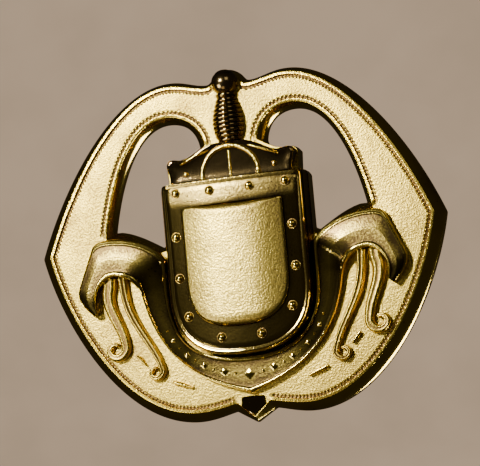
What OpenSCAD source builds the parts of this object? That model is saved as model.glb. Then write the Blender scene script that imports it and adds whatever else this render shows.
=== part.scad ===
// Cap badge: an open W-shaped ring, a sword behind a riveted shield, and a scroll with curled tails,
// held to a cap by two threaded posts, a clamp plate, washers and knurled thumb nuts.
//
// Frame: +Z runs up the sword, the face looks towards -Y, and the back rim of the ring lies on Y = 0.
// The origin is the seat on the cap, level with the side points of the ring. Units are millimetres.

/* [Overall] */
// width over the two side points of the ring
badge_w = 45; // [36:0.5:54]
// height from the pommel to the tip of the blade
badge_h = 38.2; // [32:0.2:46]

/* [Ring] */
// height of the grained face of the ring above the back rim
field_h = 1.8; // [1.5:0.05:2.6]
// height of the polished edge above the grained face
rim_step = 0.12; // [0.05:0.01:0.3]
// width of the polished edge
rim_w = 0.36; // [0.25:0.01:0.5]
// width of the groove beside the polished edge
groove_w = 0.4; // [0.25:0.01:0.6]
// depth of the groove below the grained face
groove_d = 0.16; // [0.05:0.01:0.3]
// thickness of the sheet over the hollow back
sheet_t = 0.6; // [0.4:0.05:1.0]
// width of the wall around the hollow back
wall_w = 1.1; // [0.8:0.05:1.5]

/* [Shield] */
// half width of the shield face
shield_w = 7.65; // [6.3:0.05:9.2]
// height of the shield face at its middle, above the grained face of the ring
shield_rise = 2.55; // [1.8:0.05:3.6]
// radius that the shield face bows to from side to side
shield_bow_r = 34; // [25:1:80]
// width of the flat border that holds the rivets, beside the raised middle
border_w = 2.05; // [1.7:0.05:2.5]
// height of the raised middle above the shield face
boss_step = 0.6; // [0.3:0.05:1.2]
// radius of one rivet
rivet_r = 0.55; // [0.4:0.01:0.66]

/* [Sword] */
// radius of the pommel ball
pommel_r = 1.45; // [1.2:0.05:1.75]
// number of wire turns on the grip
grip_turns = 10; // [7:1:13]
// largest radius of the grip
grip_r = 1.8; // [1.4:0.05:2.2]
// height of the guard above the grained face of the ring
guard_rise = 1.3; // [0.9:0.05:1.8]
// radius of the side ring's middle line
side_ring_r = 3.1; // [2.6:0.05:3.7]

/* [Scroll] */
// height of the flat of the scroll above the grained face of the ring
scroll_rise = 0.75; // [0.5:0.05:1.1]
// height of the scroll's folds above its flat
fold_step = 0.7; // [0.3:0.05:1.1]
// height of the scroll's raised borders above its flat
border_step = 0.18; // [0.08:0.01:0.3]

/* [Fixing] */
// distance between the two posts
post_gap = 25; // [21:0.5:29]
// radius of a threaded post
post_r = 1; // [0.8:0.05:1.25]
// pitch of the thread, which the joints follow
pitch = 0.4; // [0.25:0.01:0.5]
// running clearance around a post, on the radius
clearance = 0.05; // [0.02:0.01:0.1]
// room for the cloth between the back rim and the clamp plate
cloth_gap = 2.3; // [2.1:0.1:3.5]
// thickness of the clamp plate
plate_t = 0.6; // [0.4:0.1:1.0]
// radius of a thumb nut
nut_r = 2.6; // [2.2:0.1:3.2]
// thickness of a thumb nut
nut_t = 2; // [1.5:0.1:3]
// how far a nut backs off along its post
nut_travel = 3; // [2:0.1:4]

/* [Hidden] */
$fn = 64;
sx = badge_w / 45;
sz = badge_h / 38.2;
rim_h = field_h + rim_step;
shield_h = field_h + shield_rise;
guard_h = field_h + guard_rise;
scroll_h = field_h + scroll_rise;
seam = 0.03;
hilt_z = 6.5 * sz;
pommel_room = 1.05;
guard_lip = 0.28;
guard_top_z = hilt_z + side_ring_r + 0.52;
shield_top_z = from_hilt(-guard_lip - 0.12);
shield_mid_z = -5;
shield_foot = 0.5;
shield_seat = shield_w + shield_foot + 0.05;
boss_w = shield_w - border_w;
boss_top_z = shield_top_z - 2.75;
pommel_z = 16.55 * sz;
collar_top_z = pommel_z - 1.2;
collar_t = 0.25;
collar_r = 1.22;
grip_foot_z = guard_top_z + seam;
side_wire_r = 0.26;
ricasso_r = side_ring_r - side_wire_r - 0.1;
rivet_places = [
    for (side = [1, -1])
        each [
            [side * (shield_w - 0.78 * border_w), shield_top_z - 1.1],
            [side * 2.2, shield_top_z - 1.25],
            [side * (shield_w - 0.61 * border_w), 0.3],
            [side * (shield_w - 0.61 * border_w), -4.15],
            [side * (shield_w - 0.95 * border_w), -8.35],
            [side * 2.2, -10.95]
        ]
];
post_z = -4.6;
foot_r = post_r + 1;
washer_r = post_r + 1;
washer_t = 0.4;
stack_gap = 0.05;
washer_y = cloth_gap + plate_t + stack_gap;
nut_y = washer_y + washer_t + stack_gap;
post_end_y = nut_y + nut_t + 0.87 * nut_travel;
gold = [0.83, 0.66, 0.32];
bright_gold = [0.93, 0.79, 0.45];
dark_gold = [0.56, 0.41, 0.16];
brass = [0.72, 0.58, 0.30];

// ---------- outlines ----------

// n points of a cubic curve from a to d with the handles b and c, the last point left out
function bezier(a, b, c, d, n) = [
    for (i = [0 : n - 1])
        let (t = i / n, u = 1 - t)
        u * u * u * a + 3 * u * u * t * b + 3 * u * t * t * c + t * t * t * d
];

// points stretched to the badge's own width and height
function fitted(pts) = [for (p = pts) [p[0] * sx, p[1] * sz]];

// height, before the stretch, of what stays dz above the foot of the guard after it
function from_hilt(dz) = (hilt_z + dz) / sz;

// right half of the ring's outline from the pommel down to the tip; grow is 0 at the face, 1 at the back
function ring_half(grow) =
    let (
        side = [21.4 + 1.1 * grow, 0],
        lobe = [6.5, 17 + 0.55 * grow],
        notch = [2.3 + 0.2 * grow, 16.3 + 0.5 * grow],
        crown_r = 1.55 + 0.5 * grow,
        low = [6 + 0.3 * grow, -18.5 - 0.9 * grow],
        gap = [1.8 + 0.4 * grow, -17.9 - 0.8 * grow],
        tip = [0, -19.55 - 0.5 * grow]
    )
    concat(
        [for (a = [90 : -11 : 40]) [crown_r * cos(a), 16.15 + crown_r * sin(a)]],
        bezier([crown_r * cos(35), 16.15 + crown_r * sin(35)], [1.6 + 0.4 * grow, 16.5 + 0.4 * grow],
            notch - [0.35, 0], notch, 3),
        bezier(notch, notch + [1.3, 0.05], lobe - [1.6, 0], lobe, 6),
        bezier(lobe, [12.6 + 0.4 * grow, lobe[1] + 0.1], [18.6 + 0.9 * grow, 7.4 + 0.6 * grow], side, 16),
        bezier(side, [19.9 + grow, -7.5 - 0.4 * grow], [14 + 0.6 * grow, low[1]], low, 16),
        bezier(low, low - [1.7, 0], gap + [0.7, -0.1], gap, 6),
        [gap],
        [tip]
    );

function ring_outline(grow) =
    let (
        half = ring_half(grow),
        open_half = [for (i = [1 : len(half) - 2]) half[i]]
    )
    fitted(concat([half[0]], flipped_from_top(open_half), [half[len(half) - 1]], reversed(open_half)));

function reversed(pts) = [for (i = [len(pts) - 1 : -1 : 0]) pts[i]];

function flipped_from_top(pts) = [for (p = pts) [-p[0], p[1]]];

// the pierced hole on the right, from the hilt round the lobe to the scroll; grow is 0 at the face
function hole_arc(grow) =
    let (
        near = [2.9 + 0.85 * grow, from_hilt(3.6 - 0.1 * grow)],
        top = [7.0 + 0.1 * grow, 13.65 - 0.6 * grow],
        far = [14.85 - 0.8 * grow, 1.2 + 0.75 * grow]
    )
    concat(
        bezier(near, [3.1 + 0.85 * grow, 12.2 - 0.3 * grow], [4.9 + 0.3 * grow, top[1]], top, 10),
        bezier(top, [11.2 - 0.5 * grow, top[1]], [13.7 - 0.7 * grow, 7.6], far, 14),
        [far]
    );

// the rest of the hole, back along the scroll, the shield and the guard
function hole_rest(grow) =
    let (
        edge = shield_seat,
        quillon = 7.2 + 0.1 * grow
    )
    concat(
        bezier([13.6 - 0.3 * grow, 1.15 + 0.8 * grow], [11.6, 0.7 + 0.9 * grow], [10.2, 0.1 + 0.5 * grow],
            [edge + 0.55, -0.9 + 0.65 * grow], 5),
        [
            [edge, -0.75 + 0.75 * grow],
            [edge, from_hilt(-0.8)],
            [edge - 0.3, from_hilt(-0.35)],
            [quillon, from_hilt(-0.2)],
            [quillon + 0.12, from_hilt(1.85)],
            [quillon - 0.3, from_hilt(2.35)],
            [quillon - 1.2, from_hilt(2.25)],
            [4.9, from_hilt(2.5)],
            [3.9, from_hilt(3)]
        ]
    );

function hole_outline(grow) = reversed(fitted(concat(hole_arc(grow), hole_rest(grow))));

// U-shaped outline with straight sides and a full, nearly round foot
function shield_outline(w, top, foot, turn_z) =
    let (
        fullness = 2.6,
        quarter = [
            for (a = [0 : 7.5 : 82.5])
                [w * pow(cos(a), 2 / fullness), turn_z + (foot - turn_z) * pow(sin(a), 2 / fullness)]
        ]
    )
    concat([[-w, top]], flipped_from_top(quarter), [[0, foot]], reversed(quarter), [[w, top]]);

// ---------- solids from outlines ----------

// turns shapes drawn flat, with their height along Z, so that they face -Y
module facing() {
    rotate([90, 0, 0]) children();
}

// a closed skin over rings of points; every ring has the same number of points
module skin(rings) {
    n = len(rings[0]);
    top = (len(rings) - 1) * n;
    polyhedron(
        points = [for (r = rings) each r],
        faces = concat(
            [[for (i = [0 : n - 1]) i]],
            [[for (i = [n - 1 : -1 : 0]) top + i]],
            [
                for (k = [0 : len(rings) - 2], i = [0 : n - 1])
                    let (j = (i + 1) % n)
                    [k * n + i, (k + 1) * n + i, (k + 1) * n + j]
            ],
            [
                for (k = [0 : len(rings) - 2], i = [0 : n - 1])
                    let (j = (i + 1) % n)
                    [k * n + i, (k + 1) * n + j, k * n + j]
            ]
        )
    );
}

function at_height(pts, h) = [for (p = pts) [p[0], p[1], h]];

// direction across a path at point i
function across(path, i) =
    let (
        a = path[max(i - 1, 0)],
        b = path[min(i + 1, len(path) - 1)],
        d = (b - a) / norm(b - a)
    )
    [-d[1], d[0]];

// a strand with a rounded top along a flat path: half widths and top heights are given for each point
module strand(path, half_w, tops, base) {
    bulge = [[1, 0], [1, 0.55], [0.72, 0.9], [0, 1], [-0.72, 0.9], [-1, 0.55], [-1, 0]];
    skin([
        for (i = [0 : len(path) - 1])
            let (s = across(path, i))
            [
                for (b = bulge)
                    let (p = path[i] + s * half_w[i] * b[0])
                    [p[0], p[1], base + (tops[i] - base) * b[1]]
            ]
    ]);
}

// ---------- ring ----------

// joins flat shapes to one clean outline
module one_outline() {
    offset(delta = 0.001)
        offset(delta = -0.001)
            children();
}

// the hole's curved side, closed by chords that stay inside the hole
function hole_side() = fitted(concat(hole_arc(0), [[shield_seat, -0.9], [4, from_hilt(2.5)]]));

// children on the right side of the badge and again, mirrored, on the left
module both_sides() {
    children();
    mirror([1, 0, 0]) children();
}

// the edge zones that run beside a hole, between two distances from its side
module beside_hole(from, to) {
    low = from_hilt(3.8);
    near = shield_seat + 0.8;
    kept = fitted([[1.9, low], [near, low], [near, 2.1], [17, 2.1], [17, 16], [1.9, 16]]);
    both_sides()
        intersection() {
            difference() {
                offset(delta = to) polygon(hole_side());
                offset(delta = from) polygon(hole_side());
            }
            polygon(kept);
        }
}

// the edge zones that run along the outer outline, between two distances from it
module beside_edge(from, to) {
    difference() {
        offset(delta = -from) polygon(ring_outline(0));
        offset(delta = -to) polygon(ring_outline(0));
        translate([-pommel_r - pommel_room, pommel_z - 4]) square([2 * (pommel_r + pommel_room), 8]);
        polygon(fitted([[-2.3, -16], [2.3, -16], [1.7, -21], [-1.7, -21]]));
    }
}

module ring_frame() {
    rise = [[0, 1], [0.25, 1], [0.55, 0.8], [0.78, 0.45], [0.93, 0.14], [1, 0]];
    ledge = 0.03;
    color(gold)
        facing()
            difference() {
                skin([for (r = rise) at_height(ring_outline(r[1]), r[0] * rim_h)]);
                both_sides()
                    skin(concat(
                        [at_height(hole_outline(1), -1)],
                        [for (r = rise) at_height(hole_outline(r[1]), r[0] * rim_h)],
                        [at_height(hole_outline(0), rim_h + 1)]
                    ));
                translate([0, 0, field_h])
                    linear_extrude(1)
                        one_outline()
                            difference() {
                                square(2 * badge_w, center = true);
                                beside_edge(-2, rim_w);
                                beside_hole(-2, rim_w);
                            }
                translate([0, 0, field_h - groove_d])
                    linear_extrude(1)
                        one_outline() {
                            beside_edge(rim_w + ledge, rim_w + groove_w);
                            beside_hole(rim_w + ledge, rim_w + groove_w);
                        }
                translate([0, 0, -1])
                    linear_extrude(1 + field_h - sheet_t)
                        one_outline()
                            difference() {
                                offset(delta = -wall_w) polygon(ring_outline(1));
                                both_sides()
                                    offset(delta = wall_w) polygon(hole_outline(1));
                            }
            }
}

// ---------- shield ----------

// everything under a face that bows from side to side, top_h above the back rim at its middle
module under_bow(bow_r, top_h) {
    translate([0, 0, top_h - bow_r])
        rotate([90, 0, 0])
            cylinder(r = bow_r, h = 60, center = true);
}

module shield_plate() {
    foot_z = -12.8;
    color(dark_gold)
        facing()
            difference() {
                intersection() {
                    skin([
                        at_height(fitted(shield_outline(shield_w + shield_foot, shield_top_z + 0.06,
                            foot_z - 0.2, shield_mid_z)), field_h),
                        at_height(fitted(shield_outline(shield_w + 0.14, shield_top_z, foot_z - 0.06,
                            shield_mid_z)), shield_h - 1.2),
                        at_height(fitted(shield_outline(shield_w - 0.1, shield_top_z - 0.15, foot_z + 0.1,
                            shield_mid_z)), shield_h + 0.5)
                    ]);
                    under_bow(shield_bow_r, shield_h);
                }
                translate([0, 0, field_h - 1])
                    linear_extrude(shield_h)
                        polygon(boss_outline(seam));
                for (p = rivet_places)
                    translate([p[0] * sx, p[1] * sz, field_h - 1])
                        cylinder(r = rivet_r + seam, h = shield_h);
            }
}

function boss_outline(grow) =
    fitted(shield_outline(boss_w + grow, boss_top_z + grow, -9.9 - grow, -4.3));

module shield_boss() {
    edge_h = shield_h - 0.35;
    color(bright_gold)
        facing()
            intersection() {
                skin([
                    at_height(boss_outline(0), field_h),
                    at_height(boss_outline(0), edge_h),
                    at_height(boss_outline(-0.18), edge_h + 0.35),
                    at_height(boss_outline(-0.6), edge_h + 0.65),
                    at_height(boss_outline(-1.3), edge_h + 0.9)
                ]);
                under_bow(18, shield_h + boss_step);
            }
}

// height of the bowed shield face at a distance from its middle line
function bow_height(x) = shield_h - shield_bow_r + sqrt(shield_bow_r * shield_bow_r - x * x);

module shield_rivets() {
    dome_h = 0.4;
    dome_r = (rivet_r * rivet_r + dome_h * dome_h) / (2 * dome_h);
    color(gold)
        facing()
            for (p = rivet_places) {
                shank_top = bow_height(p[0] * sx);
                translate([p[0] * sx, p[1] * sz, field_h])
                    intersection() {
                        cylinder(r = rivet_r, h = shank_top - field_h + dome_h);
                        translate([0, 0, shank_top - field_h + dome_h - dome_r])
                            union() {
                                sphere(dome_r);
                                translate([0, 0, -10]) cylinder(r = rivet_r + 1, h = 10 + dome_r - dome_h);
                            }
                    }
            }
}

// ---------- sword ----------

// half of a turned piece standing on the ring's face, its axis along Z from z0 upwards
module half_turned(z0) {
    translate([0, -field_h, z0])
        rotate([0, 0, 180])
            rotate_extrude(angle = 180)
                children();
}

module sword_pommel() {
    lift = 0.35;
    color(dark_gold)
        intersection() {
            translate([0, -field_h - lift, pommel_z])
                sphere(pommel_r);
            translate([-5, -field_h - 5, collar_top_z])
                cube([10, 5, 10]);
        }
}

module sword_collar() {
    color(gold)
        half_turned(collar_top_z - collar_t)
            square([collar_r, collar_t]);
}

module sword_grip() {
    low_r = 1.3;
    high_r = 1.1;
    groove = 0.15;
    grip_l = collar_top_z - collar_t - grip_foot_z;
    steps = grip_turns * 4;
    outline = [
        for (i = [0 : steps])
            let (
                t = i / steps,
                body = low_r * (1 - t) + high_r * t + (grip_r - 1.2) * sin(180 * pow(t, 0.85))
            )
            [body - groove * (0.5 + 0.5 * cos(t * grip_turns * 360)), t * grip_l]
    ];
    color(dark_gold)
        half_turned(grip_foot_z)
            polygon(concat([[0, 0]], outline, [[0, grip_l]]));
}

// right half of the guard's outline, from the middle of its top edge to its lower end
function guard_half(inset) =
    let (
        crown = guard_top_z - hilt_z - 0.15 * inset,
        arm = [5.2, 2.25 - 0.35 * inset],
        end = [7.0 - 0.3 * inset, 2.1 - 0.25 * inset],
        foot = [6.95 - 0.4 * inset, -guard_lip]
    )
    concat(
        [[0, crown]],
        bezier([1.7, crown - 0.02], [3.2, crown - 0.22 - 0.1 * inset], arm + [-1, 0.05 + 0.05 * inset], arm, 6),
        bezier(arm, arm + [0.8, -0.05], [6.6 - 0.2 * inset, 2.65 - 0.35 * inset], end, 5),
        bezier(end, [7.5 - 0.4 * inset, 1.5], [6.7 - 0.4 * inset, 0.7], foot, 5),
        [foot]
    );

function guard_outline(inset) =
    let (half = [for (p = guard_half(inset)) [p[0] * sx, hilt_z + p[1]]])
    concat(flipped_from_top(half), reversed([for (i = [1 : len(half) - 1]) half[i]]));

module sword_guard() {
    color(dark_gold)
        facing()
            difference() {
                skin([
                    at_height(guard_outline(0), field_h),
                    at_height(guard_outline(0.25), guard_h - 0.35),
                    at_height(guard_outline(1), guard_h)
                ]);
                translate([0, hilt_z, field_h - 1])
                    cylinder(r = ricasso_r + seam, h = 1 + guard_rise + 1);
            }
}

module sword_guard_ridge() {
    top = guard_top_z - 0.32;
    run = [for (x = [2.15 : 0.3 : 5.45]) [x * sx, top - 1.65 * pow(x / 5.4, 1.5)]];
    color(bright_gold)
        facing()
            both_sides()
                strand(run, [for (p = run) 0.16], [for (p = run) guard_h + 0.26], guard_h);
}

module sword_side_ring() {
    foot_w = 2 * side_wire_r + 0.16;
    color(bright_gold)
        facing() {
            translate([0, hilt_z, guard_h])
                rotate_extrude(angle = 180)
                    translate([side_ring_r, 0])
                        intersection() {
                            circle(side_wire_r);
                            translate([-1, 0]) square([2, 1]);
                        }
            both_sides()
                translate([side_ring_r - foot_w / 2, hilt_z - side_wire_r, guard_h])
                    cube([foot_w, side_wire_r, foot_w / 2]);
        }
}

module sword_ricasso() {
    flutes = [
        for (q = [
            [1, 0], [1, 0.4], [0.86, 0.6], [0.77, 0.95], [0.64, 0.95], [0.55, 0.55],
            [0.47, 0.85], [0.4, 0.55], [0.2, 0.65], [0.04, 1.35]
        ])
            [q[0] * ricasso_r, q[1]]
    ];
    color(gold)
        facing()
            intersection() {
                translate([0, hilt_z + 2 * ricasso_r, field_h])
                    rotate([90, 0, 0])
                        linear_extrude(4 * ricasso_r)
                            polygon(concat(flutes, reversed(flipped_from_top(flutes))));
                translate([0, hilt_z, 0])
                    cylinder(r = ricasso_r, h = 2 * field_h + 2);
                translate([-ricasso_r, hilt_z - side_wire_r, 0])
                    cube([2 * ricasso_r, 2 * ricasso_r, 2 * field_h + 2]);
            }
}

module quillon_studs() {
    stud_r = 0.3;
    color(bright_gold)
        facing()
            both_sides()
                translate([4.9 * sx, hilt_z + 0.55, guard_h])
                    rotate_extrude()
                        intersection() {
                            circle(stud_r);
                            square(1);
                        }
}

module sword_tip() {
    edge_h = 0.3;
    ridge_h = 1.05;
    outline = fitted([[-1.2, -17.3], [-1.3, -18.3], [0, -19.4], [1.3, -18.3], [1.2, -17.3]]);
    ridge = fitted([[0, -17.3], [0, -18.3]]);
    color(dark_gold)
        facing()
            translate([0, 0, field_h])
                polyhedron(
                    points = concat(at_height(outline, 0), at_height(outline, edge_h), at_height(ridge, ridge_h)),
                    faces = [
                        [0, 1, 2, 3, 4],
                        [0, 5, 6, 1], [1, 6, 7, 2], [2, 7, 8, 3], [3, 8, 9, 4], [4, 9, 10, 5, 0],
                        [5, 10, 11, 6], [6, 11, 7], [7, 11, 8], [8, 11, 10, 9]
                    ]
                );
}

// ---------- scroll ----------

// inner edge of the right half of the scroll, from its lowest point up round the shield and over the fold
function scroll_inner() =
    let (fullness = 2.6)
    concat(
        [
            for (i = [0 : 11])
                let (a = 90 - 7.5 * i)
                [shield_seat * pow(cos(a), 2 / fullness), shield_mid_z - 8.05 * pow(sin(a), 2 / fullness)]
        ],
        [[shield_seat, shield_mid_z], [shield_seat, -3.5]],
        bezier([shield_seat, -2], [shield_seat, -0.9], [10.6, 0.9], [14, 1.05], 7),
        bezier([14, 1.05], [15.6, 1.1], [16.1, 1.0], [16.5, -0.1], 4),
        bezier([16.5, -0.1], [17, -1.3], [17.5, -2.4], [18, -3.6], 3),
        bezier([18, -3.6], [18.5, -4.7], [18.1, -5.6], [16.6, -7.1], 6),
        [[16.6, -7.1]]
    );

// outer edge of the same half, which ends inside the mouth of the fold
function scroll_outer() = concat(
    bezier([0, -16.95], [5.4, -15.3], [9.7, -12.8], [11.2, -5.3], 12),
    bezier([11.2, -5.3], [11.6, -3.9], [12.7, -3.05], [14, -3.05], 9),
    bezier([14, -3.05], [14.6, -3.05], [15.1, -3.4], [15.5, -3.8], 4),
    bezier([15.5, -3.8], [15.8, -4.1], [16, -4.5], [16.1, -4.9], 3),
    bezier([16.1, -4.9], [16.25, -5.5], [16.2, -6], [16.1, -6.6], 6),
    [[16.1, -6.6]]
);

// how far the fold has risen at station i of a half: 0 beside the shield, 1 over the fold
function fold_rise(i) =
    let (t = min(1, max(0, (i - 10) / 9)))
    t * t * (3 - 2 * t);

// the points of one cross-section, from the foot of the inner edge to the foot of the outer edge
function scroll_section(a, b, rise) =
    let (
        flat = scroll_h,
        lip = border_step,
        crest = fold_step * rise
    )
    [
        for (q = [
            [0, field_h],
            [0, flat - 0.1 + 0.2 * crest],
            [0.03, flat + lip * (1 - rise) + 0.4 * crest],
            [0.11, flat + lip * (1 - rise) + 0.6 * crest],
            [0.15, flat + 0.66 * crest],
            [0.5, flat + crest],
            [0.85, flat + crest],
            [0.89, flat + lip + crest],
            [0.97, flat + lip + crest],
            [1, flat - 0.1 + crest],
            [1, field_h]
        ])
            let (p = a * (1 - q[0]) + b * q[0])
            [p[0], p[1], q[1]]
    ];

module scroll_band() {
    a = fitted(scroll_inner());
    b = fitted(scroll_outer());
    right = [for (i = [0 : len(a) - 1]) scroll_section(a[i], b[i], fold_rise(i))];
    left = [for (i = [len(a) - 1 : -1 : 1]) [for (p = right[i]) [-p[0], p[1], p[2]]]];
    color(gold)
        facing()
            skin(reversed(concat(left, right)));
}

// lozenges and beads set along the lower run of the scroll
module scroll_ornament() {
    a = fitted(scroll_inner());
    b = fitted(scroll_outer());
    count = 9;
    color(bright_gold)
        facing()
            for (k = [-count : count]) {
                i = abs(k);
                side = k < 0 ? -1 : 1;
                mid = (a[i] + b[i]) / 2;
                room = norm(b[i] - a[i]);
                slope = atan2(b[i][1] - a[i][1], b[i][0] - a[i][0]);
                translate([side * mid[0], mid[1], scroll_h])
                    rotate([0, 0, side > 0 ? slope : 180 - slope])
                        if (i % 2 == 0)
                            cylinder(r = 0.16 * room, h = 0.16, $fn = 4);
                        else
                            cylinder(r = 0.052 * room, h = 0.16);
            }
}

// a curl that winds inwards from the side nearest the shield
function curl(centre, from_r, to_r, n) = [
    for (i = [0 : n])
        let (
            t = i / n,
            a = 180 + 300 * t,
            r = from_r * (1 - t) + to_r * t
        )
        centre + r * [cos(a), sin(a)]
];

// a tail of the scroll: it runs down from the mouth of the fold and ends in a curl
module tail(side, run, centre, curl_r, wide, narrow) {
    path = fitted(concat(run, curl(centre, curl_r, curl_r * 0.36, 20)));
    last = len(path) - 1;
    widths = [
        for (i = [0 : last])
            let (t = i / last)
            (wide * (1 - t) + narrow * t) * sx
    ];
    tops = [for (i = [0 : last]) scroll_h + 0.35 * (1 - i / last)];
    color(gold)
        facing()
            mirror([side > 0 ? 0 : 1, 0, 0])
                strand(path, widths, tops, field_h);
}

module scroll_outer_tail(side) {
    centre = [14.6, -10.75];
    curl_r = 1.15;
    run = bezier([14.8, -4.15], [15.6, -6.4], [13.5, -8.2], centre - [curl_r, 0], 14);
    tail(side, run, centre, curl_r, 0.85, 0.24);
}

module scroll_inner_tail(side) {
    centre = [10.4, -13.6];
    curl_r = 0.87;
    run = bezier([13.1, -4.9], [12.8, -8.4], [10.2, -10.6], centre - [curl_r, 0], 14);
    tail(side, run, centre, curl_r, 0.56, 0.2);
}

module scroll_end_stubs() {
    stubs = [[[12.35, -11.75], [11.4, -12.85]], [[8.55, -14.95], [6.4, -15.75]]];
    color(gold)
        facing()
            both_sides()
                for (s = stubs) {
                    run = fitted([for (t = [0 : 0.25 : 1]) s[0] * (1 - t) + s[1] * t]);
                    strand(run, [for (i = [0 : 4]) 0.34 - 0.04 * i], [for (p = run) scroll_h - 0.1], field_h);
                }
}

// ---------- fixing ----------

// a round bar along +Y from y0, at one of the two posts
module post_bar(side, y0, r, length) {
    translate([side * post_gap / 2, y0, post_z])
        rotate([-90, 0, 0])
            cylinder(r = r, h = length);
}

module post(side) {
    foot_t = 0.5;
    chamfer = 0.3;
    seat = sheet_t - field_h;
    color(brass)
        union() {
            post_bar(side, seat, foot_r, foot_t);
            post_bar(side, seat, post_r, post_end_y - chamfer - seat);
            translate([side * post_gap / 2, post_end_y - chamfer, post_z])
                rotate([-90, 0, 0])
                    cylinder(r1 = post_r, r2 = post_r - chamfer, h = chamfer);
        }
}

module clamp_plate() {
    half_h = nut_r + 0.8;
    rib_w = 1.6;
    rib_t = 0.3;
    rib_l = post_gap - 2 * nut_r - 4.8;
    color(brass)
        difference() {
            union() {
                translate([-post_gap / 2, cloth_gap, post_z - half_h])
                    cube([post_gap, plate_t, 2 * half_h]);
                for (side = [1, -1])
                    post_bar(side, cloth_gap, half_h, plate_t);
                translate([-rib_l / 2, cloth_gap + plate_t - 0.1, post_z - rib_w / 2])
                    cube([rib_l, rib_t + 0.1, rib_w]);
            }
            for (side = [1, -1])
                post_bar(side, cloth_gap - 1, post_r + clearance, plate_t + 2);
        }
}

module washer(side) {
    color(brass)
        difference() {
            post_bar(side, washer_y, washer_r, washer_t);
            post_bar(side, washer_y - 1, post_r + clearance, washer_t + 2);
        }
}

module nut(side) {
    grooves = 24;
    groove_r = 0.14;
    hub_t = 0.5;
    color(brass)
        difference() {
            union() {
                post_bar(side, nut_y, nut_r - 0.7, nut_t);
                post_bar(side, nut_y + hub_t, nut_r, nut_t - hub_t);
            }
            post_bar(side, nut_y - 1, post_r + clearance, nut_t + 2);
            for (i = [0 : grooves - 1])
                translate([side * post_gap / 2, 0, post_z])
                    rotate([0, i * 360 / grooves, 0])
                        translate([nut_r, nut_y - 1, 0])
                            rotate([-90, 0, 0])
                                cylinder(r = groove_r, h = nut_t + 2);
        }
}

ring_frame();
scroll_band();
scroll_ornament();
scroll_outer_tail(-1);  // scroll_outer_tail_left
scroll_outer_tail(1);  // scroll_outer_tail_right
scroll_inner_tail(-1);  // scroll_inner_tail_left
scroll_inner_tail(1);  // scroll_inner_tail_right
scroll_end_stubs();
shield_plate();
shield_boss();
shield_rivets();
sword_pommel();
sword_collar();
sword_grip();
sword_guard();
sword_guard_ridge();
sword_side_ring();
sword_ricasso();
quillon_studs();
sword_tip();
post(-1);  // post_left
post(1);  // post_right
clamp_plate();
washer(-1);  // washer_left
washer(1);  // washer_right
nut(-1);  // nut_left
nut(1);  // nut_right
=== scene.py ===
import logging
import math
from dataclasses import dataclass
from enum import Enum
from typing import Any

import bmesh
import bpy
import numpy as np
from mathutils import Matrix, Vector
from mathutils.geometry import delaunay_2d_cdt


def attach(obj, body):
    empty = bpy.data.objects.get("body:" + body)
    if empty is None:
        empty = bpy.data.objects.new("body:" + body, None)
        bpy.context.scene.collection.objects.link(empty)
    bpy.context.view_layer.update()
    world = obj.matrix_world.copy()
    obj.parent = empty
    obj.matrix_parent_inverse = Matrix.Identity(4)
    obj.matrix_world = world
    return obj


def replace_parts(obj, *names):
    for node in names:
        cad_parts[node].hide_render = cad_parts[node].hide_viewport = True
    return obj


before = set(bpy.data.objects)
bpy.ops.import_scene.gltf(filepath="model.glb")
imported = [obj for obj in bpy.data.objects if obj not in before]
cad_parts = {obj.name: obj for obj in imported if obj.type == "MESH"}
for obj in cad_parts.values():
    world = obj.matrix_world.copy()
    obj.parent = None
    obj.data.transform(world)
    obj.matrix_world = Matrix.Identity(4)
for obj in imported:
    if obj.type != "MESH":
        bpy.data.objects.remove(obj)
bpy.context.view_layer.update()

Array = np.ndarray
MM = 0.001
FIELD_H = 1.8  # height of the ring's face over its back rim
SHEET_T = 0.6  # thickness of its metal
CHUNK = 1000  # points compared at a time
FINE = 8  # steps between two stations of the scroll
LOG = logging.getLogger("cap_badge")


# ---------- curves, in millimetres ----------


def cubic(a: Array, b: Array, c: Array, d: Array, count: int) -> Array:
    """Points of a cubic curve: u^3 a + 3 u^2 t b + 3 u t^2 c + t^3 d with u = 1 - t.

    Args:
        a, b, c, d: End, handle, handle, end.
        count: Number of points; the last end is left out.

    Returns:
        Points, one row each.
    """
    t = (np.arange(count) / count)[:, None]
    u = 1 - t
    a, b, c, d = (np.asarray(p, float) for p in (a, b, c, d))
    return u**3 * a + 3 * u * u * t * b + 3 * u * t * t * c + t**3 * d


def mirrored(points: Array) -> Array:
    """Points turned over to the other side of the sword."""
    return points * np.array([-1.0] + [1.0] * (points.shape[-1] - 1))


def softened(points: Array, passes: int) -> Array:
    """A closed loop with its corners rounded: each pass mixes a point half and half with its neighbours."""
    for _ in range(passes):
        points = 0.5 * points + 0.25 * (np.roll(points, 1, 0) + np.roll(points, -1, 0))
    return points


def evenly(loops: list[Array], count: int, passes: int = 2) -> list[Array]:
    """Matched closed loops set out again in equal steps along the first one.

    Args:
        loops: Loops with the same number of points.
        count: Points wanted.
        passes: Rounds of softening.

    Returns:
        The same loops, matched point by point.
    """
    first = loops[0]
    steps = np.linalg.norm(np.roll(first, -1, 0) - first, axis=1)
    along = np.concatenate([[0], np.cumsum(steps)])
    where = np.linspace(0, along[-1], count, endpoint=False)
    out = []
    for loop in loops:
        closed = np.vstack([loop, loop[:1]])
        new = np.stack([np.interp(where, along, closed[:, k]) for k in range(loop.shape[1])], 1)
        out.append(softened(new, passes))
    return out


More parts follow.
